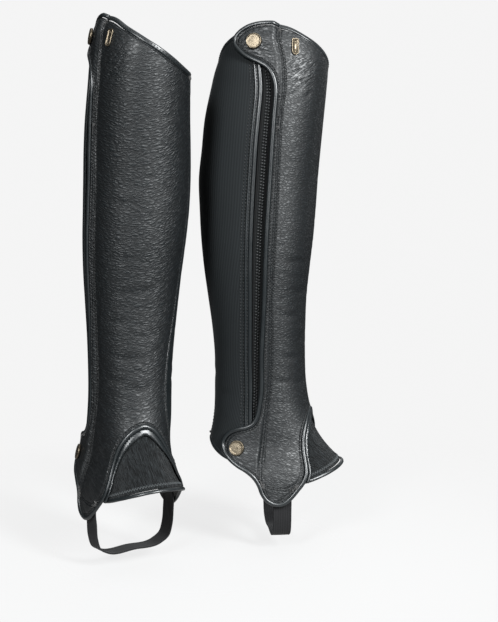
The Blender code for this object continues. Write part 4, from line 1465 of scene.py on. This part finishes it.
SNAPS = {
    "top_snap": {"angle": 93.0, "height": 507.5, "radius": 7.9, "dome": 0.25},
    "ankle_snap": {"angle": 121.6, "height": 105.4, "radius": 7.7, "dome": 0.0},
}
for name, snap in SNAPS.items():
    print(name, "faces", facing(snap["angle"], snap["height"], 0.0)[3][0])

# %% The snap caps
CAP_COLUMNS = ("share of the radius", "height")
CAP_PROFILE = (
    (1.0, 0.0), (1.0, 1.15), (0.985, 1.75), (0.95, 2.15), (0.905, 2.30), (0.865, 2.18),
    (0.835, 1.90), (0.80, 1.80), (0.60, 1.84), (0.30, 1.88), (0.0, 1.90),
)
RIM_SHARE, SNAP_STEPS = 0.8, 56


def snap_cap(radius, dome):
    def build(shape):
        rows = [(0.0, 0.0)]
        for share, height in CAP_PROFILE:
            rows.append((share * radius, height + dome * max(0.0, 1 - share / RIM_SHARE)))
        verts = [shape.verts.new((x, 0.0, z)) for x, z in rows]
        edges = [shape.edges.new(pair) for pair in zip(verts, verts[1:])]
        bmesh.ops.spin(
            shape, geom=verts + edges, axis=(0, 0, 1), cent=(0, 0, 0), dvec=(0, 0, 0),
            angle=math.tau, steps=SNAP_STEPS,
            use_merge=True, use_normal_flip=False, use_duplicate=False,
        )
        bmesh.ops.remove_doubles(shape, verts=shape.verts, dist=0.001)
        bmesh.ops.recalc_face_normals(shape, faces=shape.faces)

    return build


print("a cap is turned from", len(CAP_PROFILE), "rows of", " and ".join(CAP_COLUMNS))
for chap in PAIR:
    for name, snap in SNAPS.items():
        frames = facing(snap["angle"], snap["height"], TAB_RISE + GAP)
        cap = small_shape(snap_cap(snap["radius"], snap["dome"]))
        set_along(name, chap, cap, frames, FINISH["brass"], [name])

# %% The plate
PLATE = {
    "angle": 45.5, "height": 502.8, "lean": -4.0, "width": 7.0, "length": 16.6, "thickness": 1.2,
}
RIM_ROUND, PLATE_RIM, FIELD_WALL, PLATE_FIELD_DEPTH = 0.25, 0.95, 0.2, 0.5
SQUARED_POWER = 5
RIVET = {"radius": 0.85, "flat": 0.5, "from_end": 3.1}


def plate(shape):
    """Round below and square above, with a raised rim and a rivet at each end of its field."""
    half, top = PLATE["width"] / 2, PLATE["length"] / 2
    bmesh.ops.create_circle(shape, cap_ends=True, segments=48, radius=half)
    for vert in shape.verts:
        x, y = vert.co.x / half, vert.co.y / half
        if y > CUT_TOLERANCE:
            squared = (abs(x) ** SQUARED_POWER + abs(y) ** SQUARED_POWER) ** (-1 / SQUARED_POWER)
            vert.co.xy = (x * squared * half, top - half + y * squared * half)
        else:
            vert.co.y = half - top + y * half
    face = shape.faces[:]
    raised = bmesh.ops.extrude_face_region(shape, geom=face)
    lifted = [item for item in raised["geom"] if isinstance(item, bmesh.types.BMVert)]
    bmesh.ops.translate(shape, verts=lifted, vec=(0, 0, PLATE["thickness"]))
    field = [item for item in raised["geom"] if isinstance(item, bmesh.types.BMFace)]
    steps = ((RIM_ROUND, 0.0), (PLATE_RIM - RIM_ROUND, 0.0), (FIELD_WALL, -PLATE_FIELD_DEPTH))
    for width, depth in steps:
        bmesh.ops.inset_region(
            shape, faces=field, thickness=width, depth=depth, use_even_offset=False
        )
    outer = [vert for vert in lifted if abs(vert.co.z - PLATE["thickness"]) < CUT_TOLERANCE]
    bmesh.ops.translate(shape, verts=outer, vec=(0, 0, -RIM_ROUND))
    field_height = PLATE["thickness"] - PLATE_FIELD_DEPTH
    flattened = Matrix.Diagonal((1.0, 1.0, RIVET["flat"], 1.0))
    for y in (top - RIVET["from_end"], RIVET["from_end"] - top):
        bmesh.ops.create_uvsphere(
            shape, u_segments=14, v_segments=8, radius=RIVET["radius"],
            matrix=Matrix.Translation((0.0, y, field_height)) @ flattened,
        )
    bmesh.ops.recalc_face_normals(shape, faces=shape.faces)


for chap in PAIR:
    frames = facing(PLATE["angle"], PLATE["height"], GAP, PLATE["lean"])
    set_along("plate", chap, small_shape(plate), frames, FINISH["brass"], ["plate"])

# %% [markdown]
# ## The strap
#
# A flat elastic band runs from inside the outer flap, across below and up inside the inner flap. It
# hangs in one upright plane, so its line is drawn there, as distance outward and height, and a flat
# section is rolled along it.

# %% The line of the strap
STRAP = {"forward": 16.5, "inside": 3.5}
FLAP_ANGLES, FLAP_STEPS, STRAP_FLAP_HEIGHTS = (60.0, 125.0), 200, (67.0, 57.0)
STRAP_LINE = (
    (54.6, 46.0), (53.6, 32.0), (50.0, 21.5), (41.5, 16.2), (12.0, 15.0), (-18.0, 16.2),
    (-26.8, 21.5), (-30.8, 32.0), (-32.3, 46.0),
)
STRAP_STEPS = 10


def beside_flap(side, height):
    """Where the strap lies inside a flap, in its own plane."""
    angles = np.linspace(*FLAP_ANGLES, FLAP_STEPS)
    flap = leg(side * angles, np.full(len(angles), height))
    return flap[np.abs(flap[:, 1] - STRAP["forward"]).argmin()][0] - side * STRAP["inside"], height


high, low = STRAP_FLAP_HEIGHTS
outer_end, inner_end = ([beside_flap(side, height) for height in (high, low)] for side in (1, -1))
strap_line = smooth_line([*outer_end, *STRAP_LINE, *inner_end[::-1]], STRAP_STEPS)
print("the strap is", round(run_along(strap_line)[-1], 1), "mm long")

# %% The strap
BAND_COLUMNS = ("half thickness", "distance from the middle")
BAND_QUARTER = ((0.0, 9.25), (0.55, 9.1), (0.8, 8.5), (0.62, 7.9), (0.70, 4.0), (0.72, 0.0))

strap_ahead = unit(np.gradient(strap_line, axis=0))
none, one = np.zeros(len(strap_line)), np.ones(len(strap_line))
strap_frames = (
    np.stack([strap_line[:, 0], none + STRAP["forward"], strap_line[:, 1]], 1),
    np.stack([none, one, none], 1),
    np.stack([-strap_ahead[:, 1], none, strap_ahead[:, 0]], 1),
)
quarter = [(wide, thick) for thick, wide in BAND_QUARTER]
face_side = quarter + [(-wide, thick) for wide, thick in quarter[-2::-1]]
band_section = face_side + [(wide, -thick) for wide, thick in face_side[-2:0:-1]]
print("the band's section is drawn by", " and ".join(BAND_COLUMNS))
for chap in PAIR:
    rolled_through("strap", chap, strap_frames, band_section, FINISH["elastic"])

# %% [markdown]
# ## The end: sheets and sizes
#
# The flat sheets that the panels were cut from are listed with their width, length and area.

# %% Sheets and sizes
SHEET_COLUMNS = ("width", "length", "area")
SHEETS = {
    "front_panel": (0.190, 0.455, 0.0393),
    "placket": (0.038, 0.457, 0.0062),
    "flap_patch": (0.055, 0.024, 0.00062),
    "inner_panel": (0.153, 0.433, 0.0455),
    "stretch_panel": (0.108, 0.422, 0.0327),
    "gusset": (0.171, 0.074, 0.00495),
}
print("a sheet has its", ", ".join(SHEET_COLUMNS))
for (name, chap), piece in PANELS.items():
    name in SHEETS
